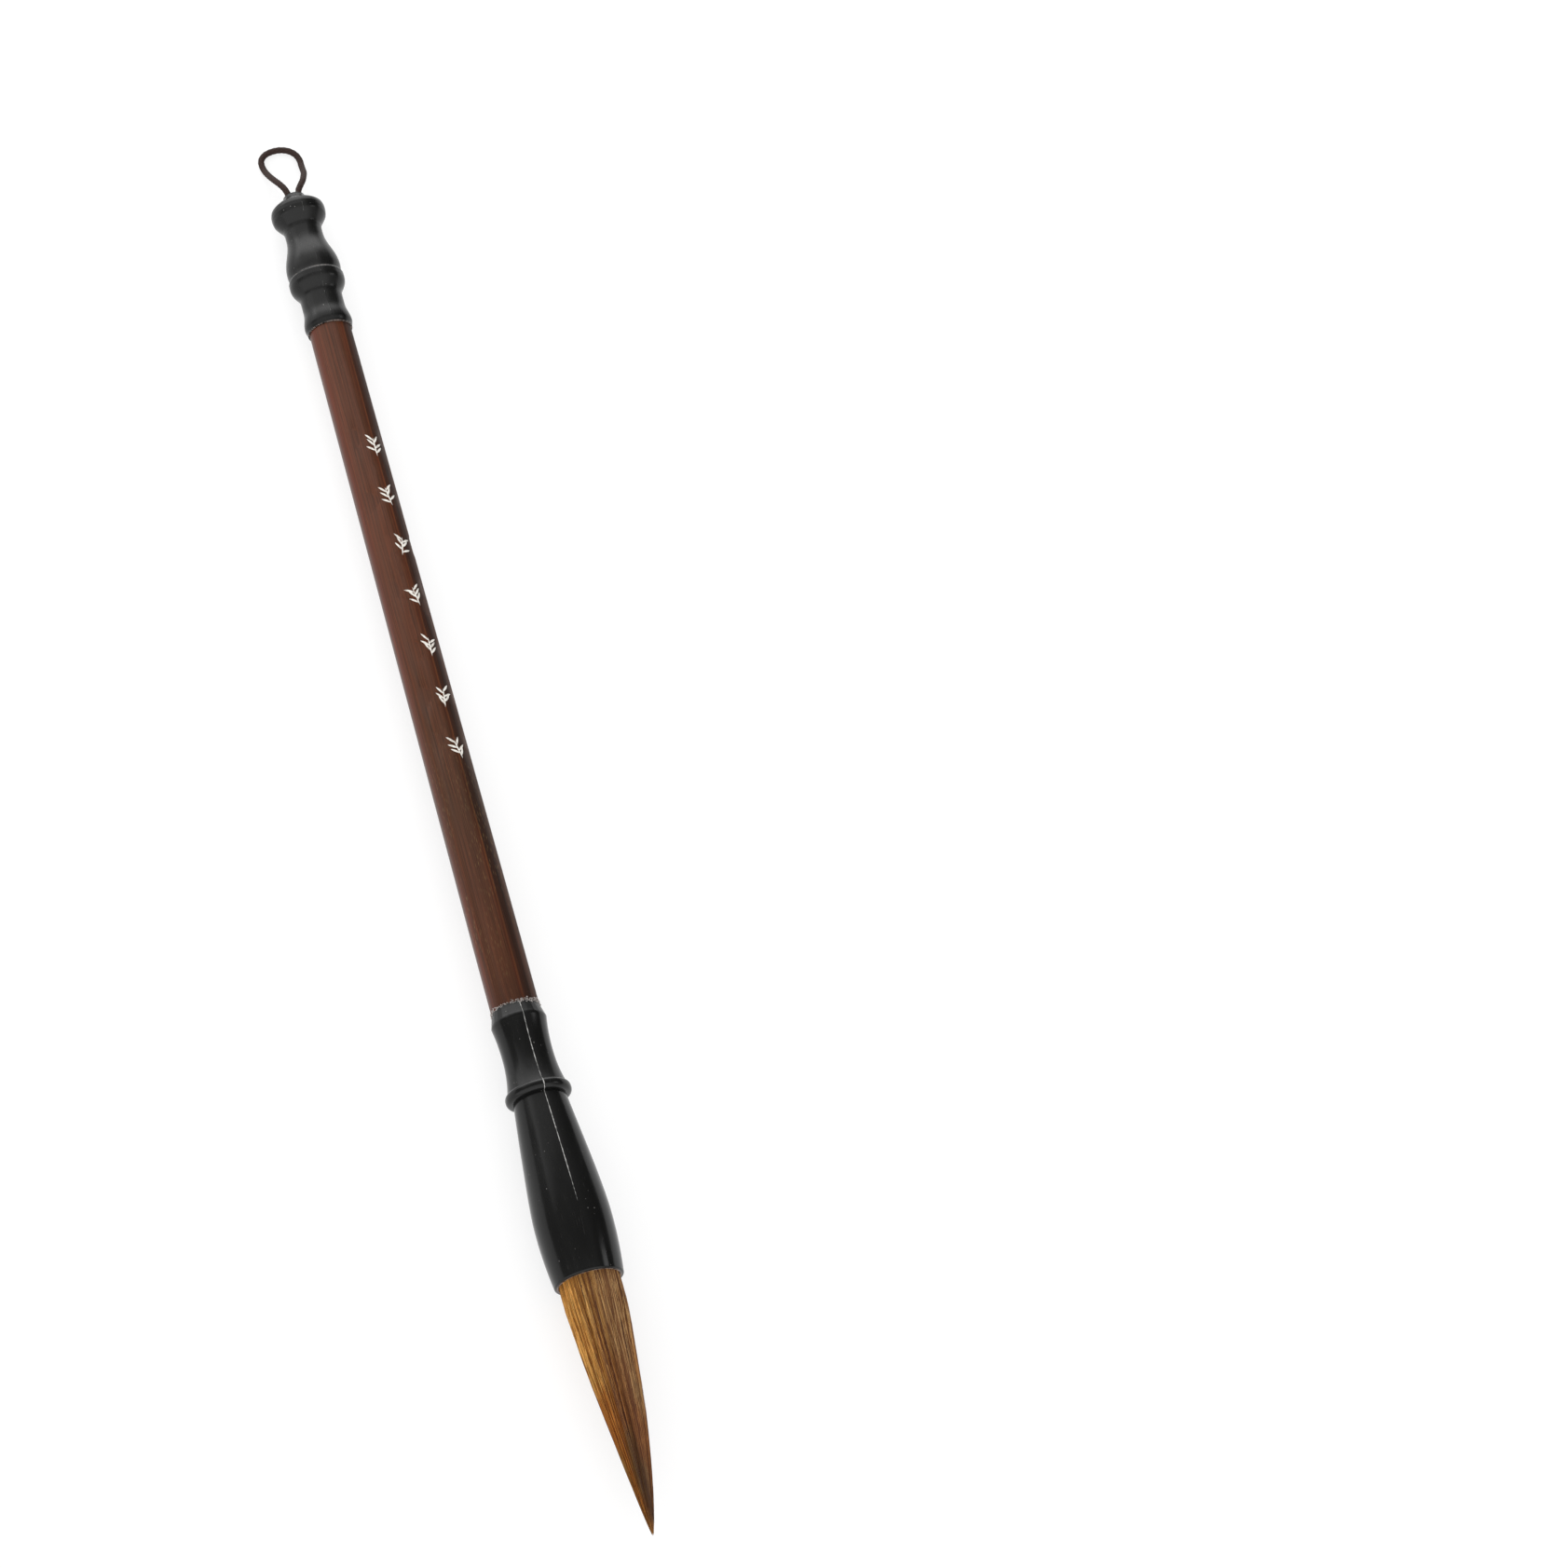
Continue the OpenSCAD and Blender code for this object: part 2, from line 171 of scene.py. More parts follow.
FLOOR_HALF = 6.0
FLOOR_GAP = 0.0002
FLOOR_GLOW = 0.72

# Two panels overhead that overlap, so that their edge is soft: the edges along X, the edges
# along Y and the height, in metres, and the radiance
PANELS = [((-0.5, 0.17), (0.13, 0.54), 0.32, 0.5), ((-0.5, 0.14), (0.23, 0.75), 0.33, 0.6)]

# Lights on either side: where each is, what it faces, its size in metres and its radiance
SIDE_LIGHTS = {
    "left_panel": ((-0.5, 0.6, 0.17), (0, 0.6, 0.17), (0.64, 0.32), 1.3),
    "side_lamp": ((1.26, 0.03, 0.8), (0, -0.08, 0), (0.3, 0.4), 2.6),
}


def make_camera():
    """The main view, from over the tuft's end of the table."""
    data = bpy.data.cameras.new("photo_view")
    data.lens = CAMERA_LENS
    data.sensor_width = CAMERA_SENSOR
    data.clip_start = 0.01
    data.clip_end = 50
    camera = bpy.data.objects.new("photo_view", data)
    bpy.context.scene.collection.objects.link(camera)
    level = (CAMERA_LOOKS_AT - CAMERA_AT).to_track_quat("-Z", "Y").to_matrix()
    turned = level @ Matrix.Rotation(CAMERA_ROLL, 3, "Z")
    camera.matrix_world = Matrix.Translation(CAMERA_AT) @ turned.to_4x4()
    bpy.context.scene.camera = camera


def soft_light(name, at, toward, size, radiance):
    """A rectangular light panel at one place, facing another."""
    data = bpy.data.lights.new(name, "AREA")
    data.shape = "RECTANGLE"
    data.size, data.size_y = size
    data.energy = math.pi * size[0] * size[1] * radiance
    light = bpy.data.objects.new(name, data)
    bpy.context.scene.collection.objects.link(light)
    light.visible_camera = False
    light.location = at
    light.rotation_euler = (Vector(toward) - Vector(at)).to_track_quat("-Z", "Y").to_euler()


def make_sky():
    """Soft light from all round; the camera sees the sky as plain and pale as the floor."""
    world = bpy.data.worlds.new("soft_sky")
    world.use_nodes = True
    sky = Nodes(world.node_tree, "Background")
    way = sky.split(sky.node("TexCoord", {}).outputs["Generated"])
    bands = []
    for socket, stops in ((way[1], SKY_ALONG), (way[0], SKY_ACROSS)):
        share = sky.math("MULTIPLY_ADD", socket, 0.5, 0.5)
        bands.append(sky.steps(share, [(0.5 + at / 2, light) for at, light in stops]))
    light = sky.math("MULTIPLY", sky.math("MULTIPLY", *bands), SKY_LIGHT)
    seen = sky.node("LightPath", {}).outputs["Is Camera Ray"]
    sky.set(Color=(1, 1, 1), Strength=sky.mix(seen, light, (SKY_SEEN, SKY_SEEN, SKY_SEEN)))
    bpy.context.scene.world = world


def make_stage():
    """The sky, the lights and the floor."""
    scene = bpy.context.scene
    scene.view_settings.view_transform = "Standard"
    make_sky()
    for (x0, x1), (y0, y1), height, radiance in PANELS:
        middle = Vector(((x0 + x1) / 2, (y0 + y1) / 2, height))
        soft_light("panel", middle, middle - Vector((0, 0, 1)), (x1 - x0, y1 - y0), radiance)
    for name, (at, toward, size, radiance) in SIDE_LIGHTS.items():
        soft_light(name, at, toward, size, radiance)

    corners = [(x * FLOOR_HALF, y * FLOOR_HALF, 0) for x, y in ((-1, -1), (1, -1), (1, 1), (-1, 1))]
    mesh = bpy.data.meshes.new("floor")
    mesh.from_pydata(corners, [], [(0, 1, 2, 3)])
    floor = bpy.data.objects.new("floor", mesh)
    scene.collection.objects.link(floor)
    floor.location.z = cad_box[0].z - FLOOR_GAP
    mesh.materials.append(floor_material())


# ------------------------------------------------------------------ material helpers

# side_light() runs from -X to +X along a line that rises by this much toward +X
SIDE_TILT = math.radians(15.5)


class Nodes:
    """A node tree whose nodes are made with short calls; it starts with its shader."""

    def __init__(self, tree, shader):
        self.tree = tree
        self.shader = tree.nodes[shader]

    def feed(self, node, inputs):
        """Sets or links inputs; a name's underscores stand for the socket's spaces."""
        for key, value in inputs.items():
            socket = node.inputs[key if isinstance(key, int) else key.replace("_", " ")]
            if isinstance(value, bpy.types.NodeSocket):
                self.tree.links.new(value, socket)
            elif socket.type == "RGBA":
                socket.default_value = (*value, 1)
            else:
                socket.default_value = value

    def node(self, kind, inputs, **settings):
        made = self.tree.nodes.new("ShaderNode" + kind)
        for key, value in settings.items():
            setattr(made, key, value)
        self.feed(made, inputs)
        return made

    def set(self, **inputs):
        self.feed(self.shader, inputs)

    def attribute(self, name, output="Fac"):
        return self.node("Attribute", {}, attribute_name=name).outputs[output]

    def frame_mm(self):
        """Places in millimetres on a CAD node, whose own axes are the frame's."""
        place_m = self.node("TexCoord", {}).outputs["Object"]
        return self.scaled(place_m, (1 / MM, 1 / MM, 1 / MM))

    def brush_mm(self):
        """Station, across and up in millimetres, as brush_space() stored them."""
        return self.attribute("brush_mm", "Vector")

    def scaled(self, vector, by):
        return self.node("VectorMath", {0: vector, 1: by}, operation="MULTIPLY").outputs[0]

    def math(self, operation, a, b=0.0, c=0.0, clamp=False):
        return self.node("Math", {0: a, 1: b, 2: c}, operation=operation,
                         use_clamp=clamp).outputs[0]

    def split(self, vector):
        return self.node("SeparateXYZ", {0: vector}).outputs

    def noise(self, vector, scale=1.0, detail=3.0, rough=0.5):
        return self.node("TexNoise", {"Vector": vector, "Scale": scale, "Detail": detail,
                                      "Roughness": rough}).outputs["Fac"]

    def spots(self, vector, scale, size):
        """1 at the middle of scattered spots, down to 0 at size of the spacing."""
        cells = self.node("TexVoronoi", {"Vector": vector, "Scale": scale})
        return self.steps(cells.outputs["Distance"], [(0, 1), (size, 0)])

    def steps(self, value, stops):
        """A number from a number, through stops of (place, number)."""
        return self.ramp(value, [(at, (v, v, v)) for at, v in stops])

    def ramp(self, value, stops):
        """A colour from a number, through stops of (place, colour)."""
        node = self.node("ValToRGB", {"Fac": value})
        band = node.color_ramp
        while len(band.elements) < len(stops):
            band.elements.new(0.5)
        for element, (at, colour) in zip(band.elements, sorted(stops)):
            element.position = at
            element.color = (*colour, 1)
        return node.outputs["Color"]

    def mix(self, share, a, b, blend="MIX"):
        """From a to b by share, or a combined with b in the way that blend names."""
        node = self.node("Mix", {}, data_type="RGBA", blend_type=blend)
        for index, value in ((0, share), (6, a), (7, b)):
            self.feed(node, {index: value})
        return node.outputs[2]

    def bump(self, height, distance, strength=1.0, under=None):
        """A normal from a height, laid over the normal under it."""
        node = self.node("Bump", {"Height": height, "Distance": distance,
                                  "Strength": strength})
        if under is not None:
            self.feed(node, {"Normal": under})
        return node.outputs["Normal"]

    def side_light(self, vector):
        """0 where the side faces -X and a little down, 1 opposite, through 0.5 between."""
        parts = self.split(vector)
        flat = self.node("CombineXYZ", {1: parts[1], 2: parts[2]}).outputs[0]
        out = self.node("VectorMath", {0: flat}, operation="NORMALIZE").outputs[0]
        across = (0, math.cos(SIDE_TILT) / 2, math.sin(SIDE_TILT) / 2)
        share = self.node("VectorMath", {0: out, 1: across}, operation="DOT_PRODUCT")
        return self.math("ADD", share.outputs["Value"], 0.5)


class Shade(Nodes):
    """A material's nodes, round its one shader."""

    def __init__(self, name, **shader):
        self.material = bpy.data.materials.new(name)
        self.material.use_nodes = True
        super().__init__(self.material.node_tree, "Principled BSDF")
        self.set(**shader)


# ------------------------------------------------------------------------ materials

# Colours are linear red, green and blue, and a tint multiplies the colour under it. Lists
# give them, or numbers, at places from 0 to 1: along the brush, round it by side_light(),
# or through a noise. A roughness is three equal numbers.
BLACK = (0.0035, 0.0035, 0.0033)
SMUDGED_BLACK = (0.006, 0.006, 0.0057)
SCUFF = (0.07, 0.07, 0.068)
DUST = (0.45, 0.44, 0.42)
FLASH_FROST_AND_GLINT = (0.62, 0.61, 0.59)
RESIDUE = (0.34, 0.27, 0.24)
FLASH_ROUGHNESS = (0.55, 0.55, 0.55)
RESIDUE_ROUGHNESS = (0.7, 0.7, 0.7)

# Painted light and shade round the shaft, by side_light(): orange-red on the lit -X side, then a red
# line and a dark band on the shaded +X side
WOOD_PAINTED_LIGHT_ROUND = [
    (0.0, (0.07, 0.018, 0.006)), (0.1, (0.094, 0.018, 0.005)), (0.2, (0.086, 0.023, 0.0085)),
    (0.3, (0.076, 0.0245, 0.0105)), (0.6, (0.074, 0.024, 0.0105)),
    (0.72, (0.072, 0.023, 0.0095)), (0.775, (0.062, 0.014, 0.004)), (0.8, (0.105, 0.028, 0.007)),
    (0.82, (0.036, 0.01, 0.0035)), (0.93, (0.024, 0.007, 0.0025)), (1.0, (0.06, 0.02, 0.009)),
]
WOOD_TINT_ALONG = [
    (0.3, (0.72, 0.74, 0.8)), (0.34, (0.96, 1, 1)), (0.43, (0.88, 0.98, 1.1)),
    (0.52, (0.78, 0.97, 1.08)), (0.6, (0.88, 1, 1.06)), (0.72, (1, 1, 1)), (1.0, (1, 1, 1.06)),
]
STREAK_TINT = [(0.3, (0.68, 0.74, 0.76)), (0.5, (1, 1, 1)), (0.7, (1.32, 1.1, 0.98))]
FINE_TINT = [(0.33, (0.5, 0.55, 0.52)), (0.55, (1.1, 1.1, 1.1)), (0.7, (1.4, 1.25, 1.1))]
PORE_GOLD = (0.24, 0.15, 0.06)
DULL_ROUGHNESS = (0.75, 0.75, 0.75)

PAINT = [(0.3, (0.52, 0.47, 0.41)), (0.5, (0.78, 0.75, 0.69)), (0.8, (0.86, 0.84, 0.79))]

CORD_DARK = (0.007, 0.0036, 0.003)
CORD_BROWN = (0.012, 0.006, 0.005)
CORD_FIBRE = (0.022, 0.0115, 0.0095)
CORD_CREST_HIGHLIGHT = (0.05, 0.028, 0.022)

# Painted light round the tuft, by side_light(): golden and paler on the lit -X side, duller toward +X
HAIR_PAINTED_LIGHT_ROUND = [
    (0.0, (1.5, 1.5, 1.35)), (0.15, (1.8, 1.85, 1.6)), (0.3, (1.5, 1.5, 1.3)),
    (0.45, (1.15, 1.1, 1.0)), (0.6, (0.84, 0.79, 0.8)), (0.8, (0.8, 0.77, 0.88)),
    (1.0, (1, 1, 1.2)),
]
RUST_TINT = (1.0, 0.66, 0.4)
RUST_ALONG = [(0.15, 0), (0.6, 0.9), (0.85, 0.9), (1.0, 0.2)]
DARK_ALONG = [(0.0, 0), (0.25, 0.1), (0.5, 0.45), (0.8, 0.85), (0.93, 0.8), (1.0, 0.4)]
# How much of the tip's darkening shows round the tuft: painted light and shade, least on the lit -X
# side
DARK_PAINTED_SHADE_ROUND = [(0.05, 0.75), (0.15, 0.4), (0.28, 0.7), (0.4, 1), (0.6, 1), (0.75, 0.6), (1.0, 0.6)]


def floor_material():
    """A plain pale floor that glows, so that shadows on it are faint."""
    shade = Shade("pale_floor", Roughness=0.9, Specular_IOR_Level=0.1,
                  Emission_Color=(1, 1, 1), Emission_Strength=FLOOR_GLOW)
    place_m = shade.node("TexCoord", {}).outputs["Object"]
    cloud = shade.noise(place_m, 3, 2)
    shade.set(Base_Color=shade.mix(cloud, (0.27, 0.27, 0.27), (0.3, 0.3, 0.3)))
    return shade.material


def moulding_material(name, gloss, low_rough):
    """Black moulded plastic: smudges, dust, and pale flash along the parting lines, frosted and with
    a painted glint.
    """
    shade = Shade(name, IOR=1.5, Specular_IOR_Level=gloss)
    where = shade.brush_mm()
    smudge = shade.noise(shade.scaled(where, (0.12, 0.5, 0.5)), 1, 4)
    grain = shade.noise(where, 9, 2)
    specks = shade.spots(shade.scaled(where, (0.9, 1, 1)), 0.85, 0.13)
    dusty = shade.steps(shade.noise(where, 0.35, 2), [(0.53, 0), (0.65, 1)])
    dust = shade.math("MULTIPLY", specks, dusty)
    scratches = shade.noise(shade.scaled(where, (0.25, 5, 5)), 1, 2)
    scuffs = shade.steps(scratches, [(0.68, 0), (0.75, 1)])
    black = shade.mix(smudge, BLACK, SMUDGED_BLACK)
    black = shade.mix(shade.math("MULTIPLY", scuffs, 0.25), black, SCUFF)
    pale = shade.mix(shade.math("MULTIPLY", dust, 0.55), black, DUST)
    # Pale flash: frosted plastic and a painted glint along the parting lines
    flash = shade.attribute("flash")
    worn = shade.mix(flash, pale, FLASH_FROST_AND_GLINT)
    residue = shade.attribute("residue")
    shade.set(Base_Color=shade.mix(residue, worn, RESIDUE))
    rough = shade.steps(smudge, [(0.25, low_rough), (0.75, low_rough + 0.12)])
    rough = shade.mix(flash, rough, FLASH_ROUGHNESS)
    shade.set(Roughness=shade.mix(residue, rough, RESIDUE_ROUGHNESS))
    swell = shade.bump(smudge, 0.00004, 0.4)
    shade.set(Normal=shade.bump(grain, 0.000004, 0.5, swell))
    return shade.material


def wood_material():
    """Lacquered wood with painted light and shade round it, orange-red on the lit -X side and dark on
    the shaded +X side, with long streaks and short golden pores.
    """
    shade = Shade("lacquered_wood", Coat_Weight=0.12, Coat_Roughness=0.1, Specular_IOR_Level=0.15)
    where = shade.frame_mm()
    turned = shade.node("Mapping", {"Vector": where, "Rotation": (LIE_ANGLE, 0, 0)}).outputs[0]
    parts = shade.split(turned)
    up = shade.math("SUBTRACT", parts[2], AXIS_UP)
    swapped = shade.node("CombineXYZ", {0: parts[1], 1: parts[0], 2: up}).outputs[0]
    # Painted light and shade by side: the -X side is lit and the +X side shaded; broad noise moves
    # the edges of the painted bands
    lit_side = shade.side_light(swapped)
    broad = shade.noise(shade.scaled(swapped, (0.012, 0.35, 0.35)), 1, 3)
    wander = shade.math("MULTIPLY", shade.math("SUBTRACT", broad, 0.5), 0.06)
    lit_side = shade.math("ADD", lit_side, wander)
    # The painted shaded band widens toward the ferrule
    shade_band_shift = shade.math("MULTIPLY_ADD", parts[1], -0.0005, 0.02)
    lit_side = shade.math("ADD", lit_side, shade_band_shift)
    wood = shade.ramp(lit_side, WOOD_PAINTED_LIGHT_ROUND)

    # 0 is 100 mm from the frame's origin toward the tip, and 1 is 100 mm toward the cap
    length = shade.math("MULTIPLY_ADD", parts[1], 0.005, 0.5)
    wood = shade.mix(1.0, wood, shade.ramp(length, WOOD_TINT_ALONG), "MULTIPLY")
    streak = shade.noise(shade.scaled(swapped, (0.025, 2.6, 2.6)), 1, 5, 0.7)
    fine = shade.noise(shade.scaled(swapped, (0.05, 6.5, 6.5)), 1, 3, 0.6)
    wood = shade.mix(0.85, wood, shade.ramp(streak, STREAK_TINT), "MULTIPLY")
    wood = shade.mix(0.8, wood, shade.ramp(fine, FINE_TINT), "MULTIPLY")

    pores = shade.spots(shade.scaled(swapped, (0.5, 3.2, 3.2)), 1, 0.34)
    patches = shade.noise(shade.scaled(swapped, (0.03, 0.18, 0.18)), 1, 1)
    here = shade.steps(patches, [(0.4, 0), (0.55, 1)])
    low_down = shade.steps(length, [(0.28, 0.25), (0.38, 1), (0.5, 1), (0.62, 0.15)])
    pores = shade.math("MULTIPLY", pores, shade.math("MULTIPLY", here, low_down))
    shade.set(Base_Color=shade.mix(shade.math("MULTIPLY", pores, 0.5), wood, PORE_GOLD))

    gloss = shade.steps(streak, [(0.3, 0.3), (0.7, 0.42)])
    dull = shade.steps(lit_side, [(0.72, 0), (0.84, 1)])
    shade.set(Roughness=shade.mix(dull, gloss, DULL_ROUGHNESS))
    sunk = shade.bump(fine, 0.00001, 0.35)
    shade.set(Normal=shade.bump(pores, -0.00003, 0.5, sunk))
    shade.set(Coat_Normal=shade.bump(broad, 0.0001, 0.12))
    return shade.material


def paint_material():
    """White paint in the engraving, thick in places and thin in others."""
    shade = Shade("white_paint", Roughness=0.45)
    where = shade.frame_mm()
    thin = shade.noise(where, 1.8, 4)
    grain = shade.noise(where, 9, 2)
    shade.set(Base_Color=shade.ramp(thin, PAINT))
    shade.set(Roughness=shade.steps(grain, [(0.3, 0.35), (0.7, 0.6)]))
    shade.set(Normal=shade.bump(grain, 0.00002, 0.6))
    return shade.material


def cord_material(own_mesh):
    """Dark brown braided cord with fine fibres, and a painted highlight on the braid's crests if it
    has them.
    """
    shade = Shade("brown_cord", Specular_IOR_Level=0.15)
    where = shade.frame_mm()
    fibre = shade.noise(where, 14, 4)
    cloud = shade.noise(where, 0.6, 2)
    dark = shade.mix(cloud, CORD_DARK, CORD_BROWN)
    colour = shade.mix(fibre, dark, CORD_FIBRE)
    if own_mesh:
        # Painted highlight on the braid's raised crests
        crest = shade.attribute("crest")
        colour = shade.mix(shade.math("MULTIPLY", crest, 0.55), colour, CORD_CREST_HIGHLIGHT)
    shade.set(Base_Color=colour)
    shade.set(Roughness=shade.steps(fibre, [(0.3, 0.5), (0.7, 0.75)]))
    shade.set(Normal=shade.bump(fibre, 0.00003, 0.7))
    return shade.material


def glue_material(name, low, high, rough):
    """Dried glue, clouded and pitted."""
    shade = Shade(name, Subsurface_Weight=0.1, Subsurface_Radius=(0.001, 0.0008, 0.0006))
    where = shade.frame_mm()
    cloud = shade.noise(where, 1.1, 4)
    pits = shade.noise(where, 7, 3)
    shade.set(Base_Color=shade.mix(cloud, low, high))
    shade.set(Roughness=shade.steps(pits, [(0.3, rough), (0.7, min(1.0, rough + 0.3))]))
    shade.set(Normal=shade.bump(pits, 0.00004, 0.8))
    return shade.material


def strand_material(name, low, high, pitch):
    """Hair or thread of a CAD node; a low pitch on an axis draws the strands out along it."""
    shade = Shade(name, Roughness=0.5)
    where = shade.frame_mm()
    strands = shade.noise(shade.scaled(where, pitch), 1, 4, 0.6)
    shade.set(Base_Color=shade.mix(strands, low, high))
    shade.set(Roughness=shade.steps(strands, [(0.3, 0.4), (0.7, 0.65)]))
    shade.set(Normal=shade.bump(strands, 0.00003, 0.8))
    return shade.material


def hair_material(name, stops, tip):
    """Bristle hair: each strand has its own tone, with painted light that makes it paler at -X, and
    all darken to the tip, by shares that painted light and shade vary round the tuft.
    """
    shade = Shade(name, Specular_IOR_Level=0.3)
    tone = shade.attribute("tone")
    reach = shade.attribute("reach")
    where = shade.brush_mm()
    fine = shade.noise(shade.scaled(where, (0.08, 5, 5)), 1, 3, 0.6)
    varied = shade.math("MULTIPLY", shade.math("SUBTRACT", fine, 0.5), 0.6)
    root = shade.ramp(shade.math("ADD", tone, varied, clamp=True), stops)
    # Painted light by side: paler on the lit -X side
    lit_side = shade.side_light(where)
    root = shade.mix(1.0, root, shade.ramp(lit_side, HAIR_PAINTED_LIGHT_ROUND), "MULTIPLY")
    patch = shade.noise(shade.scaled(where, (0.06, 0.3, 0.3)), 1, 2)
    rusty = shade.steps(patch, [(0.4, 0), (0.55, 1)])
    rust = shade.math("MULTIPLY", rusty, shade.steps(reach, RUST_ALONG))
    root = shade.mix(rust, root, shade.mix(1.0, root, RUST_TINT, "MULTIPLY"))
    # The tip's own darkening, shared round the tuft by painted light and shade
    dark = shade.math("MULTIPLY", shade.steps(reach, DARK_ALONG), shade.steps(lit_side, DARK_PAINTED_SHADE_ROUND))
    shade.set(Base_Color=shade.mix(dark, root, tip))
    shade.set(Roughness=shade.steps(fine, [(0.3, 0.42), (0.7, 0.6)]))
    shade.set(Normal=shade.bump(fine, 0.00002, 0.5))
    return shade.material


# ---------------------------------------------------------------------- mesh helpers

MERGE_WITHIN = 1e-7
SHARP_FROM = math.radians(45)


def store(mesh, name, values):
    """A number or a vector at each vertex, for the materials."""
    values = np.asarray(values, np.float32)
    kind = "FLOAT" if values.ndim == 1 else "FLOAT_VECTOR"
    field = "value" if values.ndim == 1 else "vector"
    mesh.attributes.new(name, kind, "POINT").data.foreach_set(field, values.ravel())


def vertices(mesh):
    """The places of the mesh's vertices, in metres."""
    flat = np.empty(len(mesh.vertices) * 3, np.float32)
    mesh.vertices.foreach_get("co", flat)
    return flat.reshape(-1, 3).astype(float)


def turn_and_reach(where):
    """The turn round the axis and the distance from it, of places in brush space."""
    return np.arctan2(where[:, 1], where[:, 2]), np.hypot(where[:, 1], where[:, 2])


def near(value, middle, width):
    """1 where the value is middle, and fading to 0 over about twice the width."""
    return np.exp(-(((value - middle) / width) ** 2))


def shares(count, first=0):
    """Even steps up to 1, of which there are count from 0."""
    return [i / count for i in range(first, count + 1)]


def make_piece(name, points, faces, merge=False):
    """A smooth mesh object; merge joins the points that meet at a pole."""
    mesh = bpy.data.meshes.new(name)
    mesh.from_pydata(np.asarray(points).reshape(-1, 3).tolist(), [], [list(f) for f in faces])
    if merge:
        work = bmesh.new()
        work.from_mesh(mesh)
        bmesh.ops.remove_doubles(work, verts=work.verts, dist=MERGE_WITHIN)
        bmesh.ops.recalc_face_normals(work, faces=work.faces)
        work.to_mesh(mesh)
        work.free()
    mesh.shade_smooth()
    mesh.set_sharp_from_angle(angle=SHARP_FROM)
    piece = bpy.data.objects.new(name, mesh)
    bpy.context.scene.collection.objects.link(piece)
    return piece


def grid_faces(rows, columns, ring=False):
    """Quads of a grid that closes round its columns, and round its rows too if ring."""
    down = np.arange(rows if ring else rows - 1)
    next_down = (down + 1) % rows
    across = np.arange(columns)
    next_across = (across + 1) % columns
    corners = (down[:, None] * columns + across, next_down[:, None] * columns + across,
               next_down[:, None] * columns + next_across, down[:, None] * columns + next_across)
    return np.stack(corners, -1).reshape(-1, 4).tolist()


def evenly(outline, step):
    """The outline with points added, so that none are further apart than step."""
    dense = [outline[0]]
    for (s0, r0), (s1, r1) in zip(outline, outline[1:]):
        parts = max(1, math.ceil(math.hypot(s1 - s0, r1 - r0) / step))
        for i in range(1, parts + 1):
            dense.append((s0 + (s1 - s0) * i / parts, r0 + (r1 - r0) * i / parts))
    return dense


def finish_piece(piece, body, material, slot, *nodes):
    """Gives a piece its material and its body, and hides the CAD nodes it stands for; slot is not
    used.
    """
    piece.data.materials.append(material)
    if body is not None:
        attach(piece, body)
    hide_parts(*nodes)


# ------------------------------------------------------------------ moulded pieces

FLASH_TURN = math.radians(2.6)
FLASH_HALF_W = 0.08
FLASH_H = 0.1
FLASH_FADES_AT = FERRULE_AT + 50
FLASH_FADES_OVER = 14
PARTING_LINES = ((FLASH_TURN, 1.0), (FLASH_TURN + math.pi, 0.8))

# Columns of vertices: even ones all round, and close ones over each parting line
EVEN_COLUMNS = 120
CLOSE_COLUMNS = 13
CLOSE_SPAN = 0.032

# Only what lies outside this radius is the moulding's skin; its waves have a height, a
# number of crests round it and a twist along it
SKIN_FROM_R = 4.0
WAVES = ((0.008, 3, 0.21), (0.006, 5, -0.33))


class Ragged:
    """Smoothly varying random height along a line, seeded so that it never changes."""

    def __init__(self, seed, length, step):
        count = int(length / step) + 2
        self.heights = np.random.default_rng(seed).random(count)
        self.places = np.arange(count) * step

    def __call__(self, at):
        return np.interp(at, self.places, self.heights)


rough_edge = Ragged(11, TIP_AT, 0.32)
long_edge = Ragged(12, TIP_AT, 4.0)


def flash_height(station, turn, radius, fade):
    """Share of the parting line's full height; the flash is ragged and broken."""
    share = 0
    for middle, weight in PARTING_LINES:
        off = np.abs((turn - middle + math.pi) % (2 * math.pi) - math.pi)
        share = share + weight * near(off * radius, 0, FLASH_HALF_W)
    ragged = 0.35 + 0.65 * rough_edge(station) ** 1.3
    here = np.clip(1.5 * long_edge(station) + 0.3, 0, 1) * fade(station)
    return share * ragged * here


def moulded(name, outline, fade, ring=False, relief=None):
    """A turned moulding with parting lines, slight waves and whatever relief is given."""
    even = np.linspace(-math.pi, math.pi, EVEN_COLUMNS, endpoint=False)
    close = np.linspace(-CLOSE_SPAN, CLOSE_SPAN, CLOSE_COLUMNS)
    turns = np.concatenate((even, FLASH_TURN + close, FLASH_TURN + math.pi + close))
    turns = np.unique(np.round((turns + math.pi) % (2 * math.pi) - math.pi, 5))
    station, radius = np.array(outline).T
    station = station[:, None]
    radius = radius[:, None]
    wave = sum(size * np.sin(n * turns + shade_band_shift * station) for size, n, shade_band_shift in WAVES)
    raised = FLASH_H * flash_height(station, turns, radius, fade)
    extra = relief(station, turns) if relief else 0
    shaped = radius + np.where(radius > SKIN_FROM_R, wave + raised + extra, 0)
    points = place(station, turns, shaped)
    piece = make_piece(name, points, grid_faces(len(outline), len(turns), ring), merge=True)
    where = brush_space(vertices(piece.data))
    store(piece.data, "brush_mm", where)
    turn, reach = turn_and_reach(where)
    flash = np.where(reach > SKIN_FROM_R, flash_height(where[:, 0], turn, reach, fade), 0)
    # Only the higher parts of the flash turn pale: frosted plastic and a painted glint
    store(piece.data, "flash", np.clip(flash * 1.6 - 0.25, 0, 1))
    return piece


